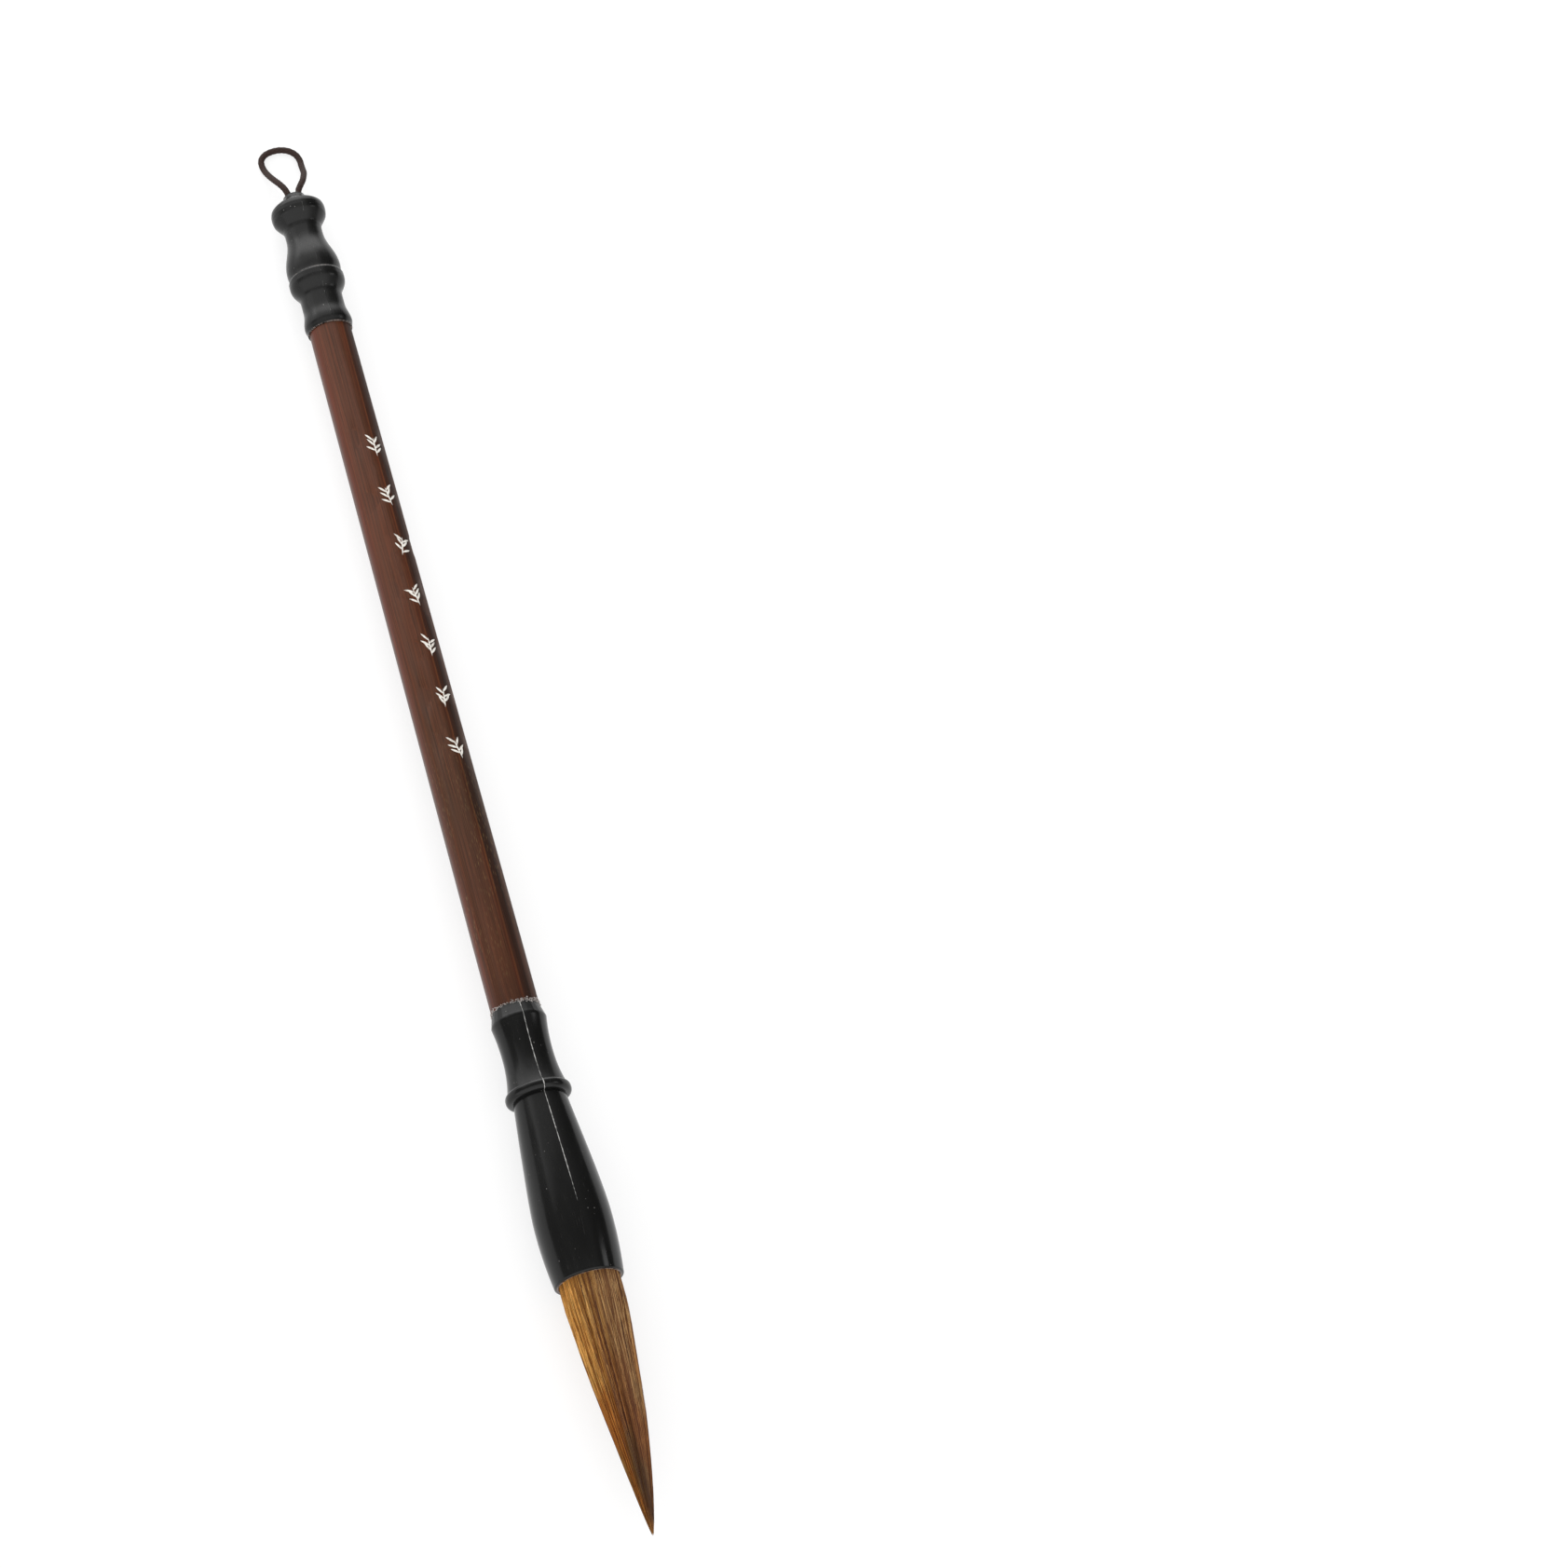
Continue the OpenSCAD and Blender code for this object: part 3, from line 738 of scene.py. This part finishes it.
def eased_outline(stations, steps=14):
    """Runs through the pairs of station and radius, level at each of them."""
    outline = []
    for (s0, r0), (s1, r1) in zip(stations, stations[1:]):
        for i in range(steps):
            t = i / steps
            outline.append((s0 + (s1 - s0) * t, r0 + (r1 - r0) * (1 - math.cos(math.pi * t)) / 2))
    outline.append(stations[-1])
    return outline


def softened(outline, sharp, passes=8):
    """The outline with its radii evened out, save at its ends and where it is sharp."""
    for _ in range(passes):
        radius = [r for _, r in outline]
        for i in range(1, len(outline) - 1):
            station = outline[i][0]
            if not any(low < station < high for low, high in sharp):
                outline[i] = (station, (radius[i - 1] + 2 * radius[i] + radius[i + 1]) / 4)
    return outline


# The cap's outside, as shares of its length and radii
CAP_PROFILE = [
    (0, 2.1), (0.006, 2.3), (0.115, CROWN_R), (0.15, CROWN_R), (0.262, 3.95), (0.31, 3.95),
    (0.545, 5.7), (0.602, 5.55), (0.624, 5.85), (0.66, 5.85), (0.755, 4.43), (0.847, 4.43),
    (0.952, 5.075), (1, 4.725),
]
GROOVE_AT = 0.612 * CAP_L
GROOVE_W = 0.07
RIM_W = 0.1
SHARP_WITHIN = 0.9
HOLE_CHAMFER = 0.25
CAP_FLASH = 0.3
CAP_STEP = 0.3
INSIDE_STEP = 3
RIM_TONES = np.random.default_rng(14).random(140)


def make_cap(material):
    """The end cap, with its cord hole, its knot chamber and the shaft's socket."""
    outside = eased_outline([(share * CAP_L, radius) for share, radius in CAP_PROFILE])
    inside = [
        (CAP_L, SOCKET_R), (CAP_SOCKET_AT, SOCKET_R), (CAP_SOCKET_AT, KNOT_CHAMBER_R),
        (KNOT_FROM, KNOT_CHAMBER_R), (KNOT_FROM, CORD_HOLE_R), (HOLE_CHAMFER, CORD_HOLE_R),
        (0, CORD_HOLE_R + HOLE_CHAMFER),
    ]
    sharp = [(-1, 1), (GROOVE_AT - SHARP_WITHIN, GROOVE_AT + SHARP_WITHIN),
             (CAP_L - SHARP_WITHIN, CAP_L + 1)]
    outline = softened(evenly(outside, CAP_STEP), sharp) + evenly(inside, INSIDE_STEP)

    def fade(station):
        return np.where((station > 1.5) & (station < CAP_L - 1), CAP_FLASH, 0.0)

    piece = moulded("end_cap_shell", outline, fade, ring=True)
    where = brush_space(vertices(piece.data))
    turn, reach = turn_and_reach(where)
    rim = near(where[:, 0], CAP_L, RIM_W) * (reach > SOCKET_R + 0.5)
    groove = near(where[:, 0], GROOVE_AT, GROOVE_W) * (reach > SKIN_FROM_R)
    broken = round_tone(turn, RIM_TONES)
    worn = np.clip(1.3 * broken - 0.4, 0, 0.6) * rim + np.clip(1.4 * broken - 0.6, 0, 0.6) * groove
    store(piece.data, "residue", np.clip(worn, 0, 1))
    finish_piece(piece, "handle", material, "black_moulding", "end_cap")


NECK_SHOULDER_AT = FERRULE_AT + 2.8
NECK_WAIST_AT = FERRULE_AT + 9.4
SHOULDER_R = 5.62
NECK_WAIST_R = 5.085
NECK_FLARE = 0.95
NECK_FLARE_POWER = 2.3
FERRULE_STEP = 0.45
CHAMFER_FLATS = 26
CHAMFER_FLAT_DEPTH = 0.045
RING_FOOT_AT = RING_AT - 1.1
RING_FOOT_R = 5.3
RING_R = 6.675
RING_HALF = 1.2
RING_SQUARENESS = 0.8
BARREL_TOP_AT = RING_AT + RING_HALF
BARREL_SLOPE = 0.115
BARREL_BEND = 0.78
BARREL_FRONT_R = 88
LIP_ROUND = 0.4
LIP_INNER_ROUND = 0.25
LIP_RESIDUE_R = CUP_R + 0.2


def signed_power(value, power):
    """The value's power, with the value's own sign."""
    return math.copysign(abs(value) ** power, value)


def ferrule_outline():
    """From the bottom of the shaft's socket, over the outside, to the floor of the cup."""
    outline = [
        (FERRULE_SOCKET_END, 0), (FERRULE_SOCKET_END, FERRULE_SOCKET_R),
        (FERRULE_AT, FERRULE_SOCKET_R), (FERRULE_AT, SHAFT_END_R),
    ]
    for t in shares(16):
        outline.append((NECK_SHOULDER_AT + (NECK_WAIST_AT - NECK_SHOULDER_AT) * t,
                        NECK_WAIST_R + (SHOULDER_R - NECK_WAIST_R) * (1 - t) ** 2))
    for t in shares(20, 1):
        outline.append((NECK_WAIST_AT + (RING_FOOT_AT - NECK_WAIST_AT) * t,
                        NECK_WAIST_R + NECK_FLARE * t ** NECK_FLARE_POWER))
    for t in shares(30, 6):
        turn = math.pi * (1 - t)
        rise = abs(math.sin(turn)) ** RING_SQUARENESS
        outline.append((RING_AT + RING_HALF * signed_power(math.cos(turn), RING_SQUARENESS),
                        RING_FOOT_R + (RING_R - RING_FOOT_R) * rise))
    for t in shares(40):
        back = (BARREL_AT - BARREL_TOP_AT) * (1 - t)
        outline.append((BARREL_AT - back,
                        BARREL_R + BARREL_BEND - math.hypot(BARREL_BEND, BARREL_SLOPE * back)))
    front_l = MOUTH_AT - LIP_ROUND - BARREL_AT
    for t in shares(16, 1):
        on = front_l * t
        outline.append((BARREL_AT + on, BARREL_R - on * on / (2 * BARREL_FRONT_R)))
    lip_r = outline[-1][1]
    for t in shares(8, 1):
        turn = math.pi / 2 * t
        outline.append((MOUTH_AT - LIP_ROUND * (1 - math.sin(turn)),
                        lip_r - LIP_ROUND * (1 - math.cos(turn))))
    for t in shares(6):
        turn = math.pi / 2 * t
        outline.append((MOUTH_AT - LIP_INNER_ROUND * (1 - math.cos(turn)),
                        CUP_R + LIP_INNER_ROUND * (1 - math.sin(turn))))
    outline += [(CUP_FLOOR_AT, CUP_R), (CUP_FLOOR_AT, 0)]
    return evenly(outline, FERRULE_STEP)


def make_ferrule(material):
    """The ferrule, with a chamfer trimmed in narrow flats and flash down its front."""

    def fade(station):
        outer = (station > FERRULE_AT + 0.2) & (station < MOUTH_AT - 1)
        late = np.clip((FLASH_FADES_AT - station) / FLASH_FADES_OVER, 0.2, 1)
        return np.where(outer, late, 0.0)

    def flats(station, turns):
        chamfer = np.clip((NECK_SHOULDER_AT - station) / 0.5, 0, 1) * (station > FERRULE_AT)
        return -CHAMFER_FLAT_DEPTH * chamfer * np.abs(np.sin(CHAMFER_FLATS / 2 * turns))

    piece = moulded("ferrule_shell", ferrule_outline(), fade, relief=flats)
    where = brush_space(vertices(piece.data))
    turn, reach = turn_and_reach(where)
    inner_lip = near(reach, LIP_RESIDUE_R, 0.2) * (where[:, 0] > MOUTH_AT - 1.5)
    patchy = 0.55 + 0.45 * np.sin(9 * turn + 1.7) * np.sin(23 * turn)
    store(piece.data, "residue", np.clip(1.3 * inner_lip * patchy, 0, 1))
    finish_piece(piece, "handle", material, "black_moulding", "ferrule")


# --------------------------------------------------------------------------- glue

FLAKES = 420
FLAKE_SIDES = 7
# Each flake's two rings: their shares of its height and of its width
FLAKE_RINGS = ((0.0, 1.0), (0.75, 0.72))
FLAKE_SUNK = 0.03
SEAM_SPREAD = 0.27
THIN_TURN = 2.6
CHAMFER_SLOPE = 0.26


def make_glue_flakes(material):
    """Ragged flakes of dried glue squeezed out round the ferrule's seam."""
    random = np.random.default_rng(5)
    points = []
    faces = []
    for _ in range(FLAKES):
        turn = random.uniform(-math.pi, math.pi)
        thick = 0.7 + 0.5 * math.sin(turn - THIN_TURN) ** 2
        station = FERRULE_AT + random.normal(-0.1, SEAM_SPREAD * thick)
        length = random.uniform(0.08, 0.4) * thick
        width = random.uniform(0.05, 0.15) * thick
        height = random.uniform(0.05, 0.2) * thick
        lean = random.uniform(-1.2, 1.2)
        first = len(points)
        base_r = SHAFT_END_R + CHAMFER_SLOPE * max(0.0, station - FERRULE_AT)
        for level, spread in FLAKE_RINGS:
            for k in range(FLAKE_SIDES):
                around = 2 * math.pi * k / FLAKE_SIDES
                ragged = spread * random.uniform(0.7, 1.25)
                along = math.sin(around) * width * ragged
                across = math.cos(around) * length * ragged
                s = station + along * math.cos(lean) + across * 0.35 * math.sin(lean)
                t = turn + (across * math.cos(lean) - along * math.sin(lean)) / SHAFT_END_R
                lift = height * level * random.uniform(0.6, 1.2) - FLAKE_SUNK
                points.append(place(s, t, base_r + lift))
        points.append(place(station, turn, base_r + height))
        upper = first + FLAKE_SIDES
        for k in range(FLAKE_SIDES):
            n = (k + 1) % FLAKE_SIDES
            faces.append((first + k, first + n, upper + n, upper + k))
            faces.append((upper + k, upper + n, upper + FLAKE_SIDES))
        faces.append(tuple(first + k for k in reversed(range(FLAKE_SIDES))))
    piece = make_piece("seam_glue", np.array(points), faces)
    finish_piece(piece, "handle", material, "glue", "ferrule_glue")


# --------------------------------------------------------------------------- hair

HAIR_FROM = MOUTH_AT - 4
STRANDS_FROM = HAIR_FROM + 2.0
STRANDS_WITHIN_R = 7.4
HOOK_FROM = TIP_AT - 30
HOOK_SIDE = -1.1
HOOK_UP = 0.35
RIDGE_SUNK = 0.17

# A length from the mouth that ends beyond the tip
ARC_L = 62

tone_random = np.random.default_rng(21)
CLUMP_TONES = tone_random.random(110)
STRAND_TONES = tone_random.random(420)
RIDGES = [(n, tone_random.uniform(0, 2 * math.pi, 3), height) for n, height in
          ((5, 0.1), (9, 0.09), (14, 0.075), (23, 0.07), (38, 0.055), (61, 0.04), (97, 0.028))]


def round_tone(turn, tones):
    """A tone that varies round the tuft and meets itself."""
    cells = (turn / (2 * math.pi) % 1) * len(tones)
    low = np.floor(cells).astype(int) % len(tones)
    share = cells - np.floor(cells)
    return tones[low] * (1 - share) + tones[(low + 1) % len(tones)] * share


def hair_r(station, root_r, tip_at):
    """The tuft's outline: full at the mouth, then tapering to a point."""
    on = np.clip((station - BEND_AT) / (tip_at - BEND_AT), 0, 1)
    return root_r * (1 - on ** TAPER_POWER) ** TAPER_FULLNESS


def ridge(turn, station):
    """Height of the clumps of hair, in mm, where the tuft is at its thickest."""
    height = 0
    for n, (a, b, c), size in RIDGES:
        drift = a + 0.9 * np.sin(0.055 * station + b) + 0.4 * np.sin(0.13 * station + c)
        height = height + size * np.sin(n * turn + drift)
    return height


def hair_surface(turn, station, root_r, tip_at):
    """The radius of the ridged surface; ridges fade in from the mouth."""
    radius = hair_r(station, root_r, tip_at)
    freed = np.clip((station - MOUTH_AT + 1) / 9, 0.12, 1)
    slim = (radius / root_r) ** 0.6
    return np.maximum(radius + (ridge(turn, station) - RIDGE_SUNK) * freed * slim, 0.03)


def hooked(points, station):
    """The points moved so that the tuft's last 30 mm lean aside and curl a little."""
    on = np.clip((station - HOOK_FROM) / (TIP_AT - HOOK_FROM), 0, 1) ** 2.2
    return points + on[..., None] * (HOOK_SIDE * ACROSS + HOOK_UP * OUTWARD_UP) * MM


def hair_tone(turn):
    """Tones of clumps and of the strands in them."""
    return 0.55 * round_tone(turn, CLUMP_TONES) + 0.45 * round_tone(turn, STRAND_TONES)


def bend_with_tuft(piece):
    """Bakes the piece's transform into its mesh."""
    place(MOUTH_AT - 0.5, 0.0, 0.0).tolist()
    place(MOUTH_AT + ARC_L, 0.0, 0.0).tolist()
    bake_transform(piece)


def make_hair_body(name, node, slot, material, root_r, tip_at, columns, rows):
    """One layer of hair as a ridged body that runs from inside the mouth to its tip."""
    on = np.linspace(0, 1, rows) ** 0.9
    station = (HAIR_FROM + (tip_at - HAIR_FROM) * on)[:, None]
    turns = np.linspace(-math.pi, math.pi, columns, endpoint=False)
    radius = hair_surface(turns, station, root_r, tip_at)
    radius[0] = 0
    radius[-1] = 0
    points = hooked(place(station, turns, radius), np.broadcast_to(station, radius.shape))
    piece = make_piece(name, points, grid_faces(rows, columns), merge=True)
    where = brush_space(vertices(piece.data))
    store(piece.data, "brush_mm", where)
    store(piece.data, "tone", 0.75 * hair_tone(turn_and_reach(where)[0]))
    store(piece.data, "reach", np.clip((where[:, 0] - MOUTH_AT) / (TIP_AT - MOUTH_AT), 0, 1))
    bend_with_tuft(piece)
    finish_piece(piece, None, material, slot, node)


def lock_tones(random, locks):
    """A tone for each lock: mid brown, gold or dark."""
    kind = random.random(locks)
    plain = random.uniform(0.3, 0.6, locks)
    gold = random.uniform(0.72, 1.0, locks)
    dark = random.uniform(0.0, 0.2, locks)
    return np.where(kind < 0.42, plain, np.where(kind < 0.7, gold, dark))


def make_strands(name, material, locks, hairs, seed, spread, drift, lift, ends, thick,
                 steps=10, paler=0.0):
    """Fine hairs along the tuft's surface, in locks, as three-sided tapering threads.

    spread is half a lock's width and drift how far it wanders, both in radians; lift is the
    least and most that it stands proud of the surface; ends are the first and last stations
    where its hairs end and a power that is below 1 when most end late; thick is a hair's
    half thickness; and paler is added to every tone.
    """
    random = np.random.default_rng(seed)
    count = locks * hairs
    lock = np.repeat(np.arange(locks), hairs)
    place_of_lock = (random.permutation(locks) + random.random(locks)) / locks * 2 * math.pi
    start_turn = place_of_lock[lock] + random.uniform(-spread, spread, count)
    low_end, high_end, power = ends
    end_at = low_end + (high_end - low_end) * random.random(count) ** power
    on = np.linspace(0, 1, steps + 1)
    station = STRANDS_FROM + (end_at - STRANDS_FROM)[:, None] * on
    wander = random.normal(0, drift, locks)[lock] + random.normal(0, drift / 4, count)
    phase = random.uniform(0, 6, locks)[lock][:, None]
    wobble = random.normal(0, drift / 3, locks)[lock][:, None] * np.sin(4.5 * on + phase)
    turn = start_turn[:, None] + wander[:, None] * on ** 1.5 + wobble
    proud = random.uniform(*lift, locks)[lock] + random.normal(0, 0.015, count)
    freed = np.clip((station - MOUTH_AT) / 5, 0, 1)
    surface = hair_surface(turn, station, BALL_R, TIP_AT)
    centre_r = np.minimum(surface + proud[:, None] * freed, STRANDS_WITHIN_R)
    half = thick * random.uniform(0.7, 1.25, count)[:, None] * np.clip(1.08 - on ** 2.5, 0.12, 1)
    rings = []
    for k in range(3):
        around = 2 * math.pi * k / 3 + 0.5
        rings.append(place(station, turn + half * math.sin(around) / np.maximum(centre_r, 0.25),
                           centre_r + half * math.cos(around)))
    points = np.stack(rings, 2)
    points = hooked(points, np.broadcast_to(station[..., None], points.shape[:-1]))
    ring = np.arange(3)
    low = (np.arange(count)[:, None, None] * (steps + 1) + np.arange(steps)[:, None]) * 3
    faces = np.stack((low + ring, low + 3 + ring, low + 3 + (ring + 1) % 3,
                      low + (ring + 1) % 3), -1).reshape(-1, 4)
    piece = make_piece(name, points, faces.tolist())
    each = np.ones((1, steps + 1, 3))
    own = paler + lock_tones(random, locks)[lock] + random.normal(0, 0.27, count)
    tone = np.clip(0.2 * hair_tone(start_turn) + 0.85 * own, 0, 1)[:, None, None] * each
    reach = np.clip((station - MOUTH_AT) / (TIP_AT - MOUTH_AT), 0, 1)[..., None] * each
    store(piece.data, "brush_mm", brush_space(points.reshape(-1, 3)))
    store(piece.data, "tone", tone.ravel())
    store(piece.data, "reach", reach.ravel())
    bend_with_tuft(piece)
    finish_piece(piece, None, material, "cover_hair")


def make_tuft():
    """The three layers of hair, and single hairs over the outer one."""
    cover = hair_material("cover_hair", [
        (0.0, (0.032, 0.01, 0.004)), (0.25, (0.1, 0.035, 0.009)), (0.5, (0.19, 0.076, 0.018)),
        (0.75, (0.34, 0.165, 0.042)), (1.0, (0.56, 0.34, 0.12)),
    ], tip=(0.04, 0.014, 0.007))
    inner = hair_material("inner_hair", [
        (0.0, (0.2, 0.1, 0.035)), (0.5, (0.42, 0.25, 0.1)), (1.0, (0.62, 0.42, 0.2)),
    ], tip=(0.2, 0.1, 0.04))
    core = hair_material("core_hair", [
        (0.0, (0.08, 0.03, 0.012)), (0.5, (0.18, 0.08, 0.03)), (1.0, (0.3, 0.15, 0.06)),
    ], tip=(0.05, 0.02, 0.01))
    make_hair_body("cover_hair_body", "tuft_cover_hair", "cover_hair", cover,
                   root_r=BALL_R - 0.03, tip_at=TIP_AT - 0.5, columns=420, rows=110)
    make_hair_body("filler_hair_body", "tuft_filler_hair", "inner_hair", inner,
                   root_r=4.5, tip_at=TIP_AT - 20, columns=90, rows=40)
    make_hair_body("core_hair_body", "tuft_core_hair", "core_hair", core,
                   root_r=2.3, tip_at=TIP_AT - 10, columns=60, rows=40)
    make_strands("cover_hairs", cover, locks=170, hairs=20, seed=31, spread=0.035, drift=0.1,
                 lift=(-0.05, 0.1), ends=(MOUTH_AT + 18, TIP_AT - 0.2, 0.45), thick=0.055)
    make_strands("loose_hairs", cover, locks=360, hairs=1, seed=33, spread=0.01, drift=0.24,
                 lift=(0.08, 0.17), ends=(MOUTH_AT + 18, TIP_AT - 1, 0.6), thick=0.045,
                 paler=0.25)
    make_strands("tip_hairs", cover, locks=60, hairs=7, seed=32, spread=0.05, drift=0.1,
                 lift=(-0.02, 0.08), ends=(TIP_AT - 16, TIP_AT, 0.6), thick=0.035, steps=16)


# --------------------------------------------------------------------------- cord

BOSS_FACE = place(0.0, 0.0, 0.0)
BRAID_STRANDS = 6
BRAID_PITCH = 0.52
BRAID_SIDES = 36
BRAID_LOW = 0.97
BRAID_RISE = 0.12
CORD_STEP = 0.11
CURVE_STEPS = 24
CORD_INSIDE = [KNOT_FROM, 6.0, 3.6, 1.6, 0.4]


def cord_route():
    """The whole cord's route in metres: out of the cap, round the loop and back in."""
    out = [place(s, -math.pi / 2, STRAND_X) for s in CORD_INSIDE]
    back = [place(s, math.pi / 2, STRAND_X) for s in reversed(CORD_INSIDE)]
    loop = [np.array((x * MM, BOSS_FACE[1] + y * MM, z * MM)) for x, y, z in LOOP_ROUTE]
    return np.array(out + loop + back)


def smooth_path(route, step):
    """A curve through the route: points on it every step metres, and how far along each is."""
    first = 2 * route[0] - route[1]
    last = 2 * route[-1] - route[-2]
    knots = np.vstack((first, route, last))
    curve = []
    for i in range(1, len(knots) - 2):
        p0, p1, p2, p3 = knots[i - 1:i + 3]
        for t in np.linspace(0, 1, CURVE_STEPS, endpoint=False):
            curve.append(0.5 * (2 * p1 + (p2 - p0) * t + (2 * p0 - 5 * p1 + 4 * p2 - p3) * t ** 2
                                + (3 * p1 - p0 - 3 * p2 + p3) * t ** 3))
    curve.append(route[-1])
    curve = np.array(curve)
    run = np.concatenate(([0], np.cumsum(np.linalg.norm(np.diff(curve, axis=0), axis=1))))
    count = int(run[-1] / step)
    even = np.linspace(0, run[-1], count + 1)
    return np.stack([np.interp(even, run, curve[:, k]) for k in range(3)], -1), even


def braid(turn, run):
    """Height of the braid, 0 to 1: two families of strands pass over and under each other."""
    right = BRAID_STRANDS * turn / (2 * math.pi) + run / (2 * BRAID_PITCH)
    left = BRAID_STRANDS * turn / (2 * math.pi) - run / (2 * BRAID_PITCH)
    over = np.sin(math.pi * right) * np.sin(math.pi * left)
    rise = [np.sqrt(np.clip(1 - (2 * (p % 1) - 1) ** 2, 0, 1)) for p in (right, left)]
    return np.maximum(rise[0] * (0.55 + 0.45 * over), rise[1] * (0.55 - 0.45 * over))


def make_cord(material):
    """One braided cord, out of the cap, round the loop and back in."""
    path, run = smooth_path(cord_route(), CORD_STEP * MM)
    ahead = np.gradient(path, axis=0)
    ahead /= np.linalg.norm(ahead, axis=1)[:, None]
    side = np.cross(ahead, (0, 0, 1.0))
    side /= np.linalg.norm(side, axis=1)[:, None]
    over = np.cross(side, ahead)
    turn = np.linspace(0, 2 * math.pi, BRAID_SIDES, endpoint=False)
    height = braid(turn, run[:, None] / MM)
    radius = CORD_D / 2 * MM * (BRAID_LOW + BRAID_RISE * height)
    out = np.cos(turn)[:, None] * side[:, None, :] + np.sin(turn)[:, None] * over[:, None, :]
    points = path[:, None, :] + out * radius[..., None]
    rows = len(path)
    faces = grid_faces(rows, BRAID_SIDES)
    faces.append(tuple(range(BRAID_SIDES)))
    faces.append(tuple((rows - 1) * BRAID_SIDES + k for k in reversed(range(BRAID_SIDES))))
    piece = make_piece("braided_cord", points, faces)
    store(piece.data, "crest", height.ravel())
    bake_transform(piece)
    finish_piece(piece, None, material, "cord", "hanging_loop", "cord_strands")
    tuple(place(0.0, -math.pi / 2, STRAND_X))


# -------------------------------------------------------------------- CAD nodes kept


def finish_cad_nodes(cord):
    """Materials for the CAD nodes that stay."""
    kept = {
        "handle_shaft": wood_material(),
        "sprig_paint": paint_material(),
        "cord_knot": cord,
        "cap_glue": glue_material("cap_glue", (0.42, 0.38, 0.33), (0.62, 0.57, 0.5), 0.5),
        "tuft_adhesive": glue_material("tuft_adhesive", (0.45, 0.3, 0.13), (0.66, 0.5, 0.28), 0.3),
        "root_resin": glue_material("root_resin", (0.22, 0.1, 0.035), (0.42, 0.22, 0.09), 0.25),
        "root_hair": strand_material("root_hair", (0.16, 0.07, 0.02), (0.45, 0.26, 0.1), (6, 0.1, 6)),
        "root_binding_thread": strand_material("binding_thread", (0.5, 0.44, 0.34), (0.8, 0.74, 0.62),
                                               (9, 9, 9)),
    }
    for node, material in kept.items():
        slots = frame["nodes"][node].data.materials
        slots.clear()
        slots.append(material)


make_camera()
make_cord(cord_material(own_mesh=True))
make_stage()
make_cap(moulding_material("cap_moulding", gloss=0.25, low_rough=0.2))
make_ferrule(moulding_material("ferrule_moulding", gloss=0.25, low_rough=0.12))
make_glue_flakes(glue_material("seam_glue", (0.16, 0.13, 0.12), (0.5, 0.47, 0.45), 0.45))
make_tuft()
finish_cad_nodes(cord_material(own_mesh=False))
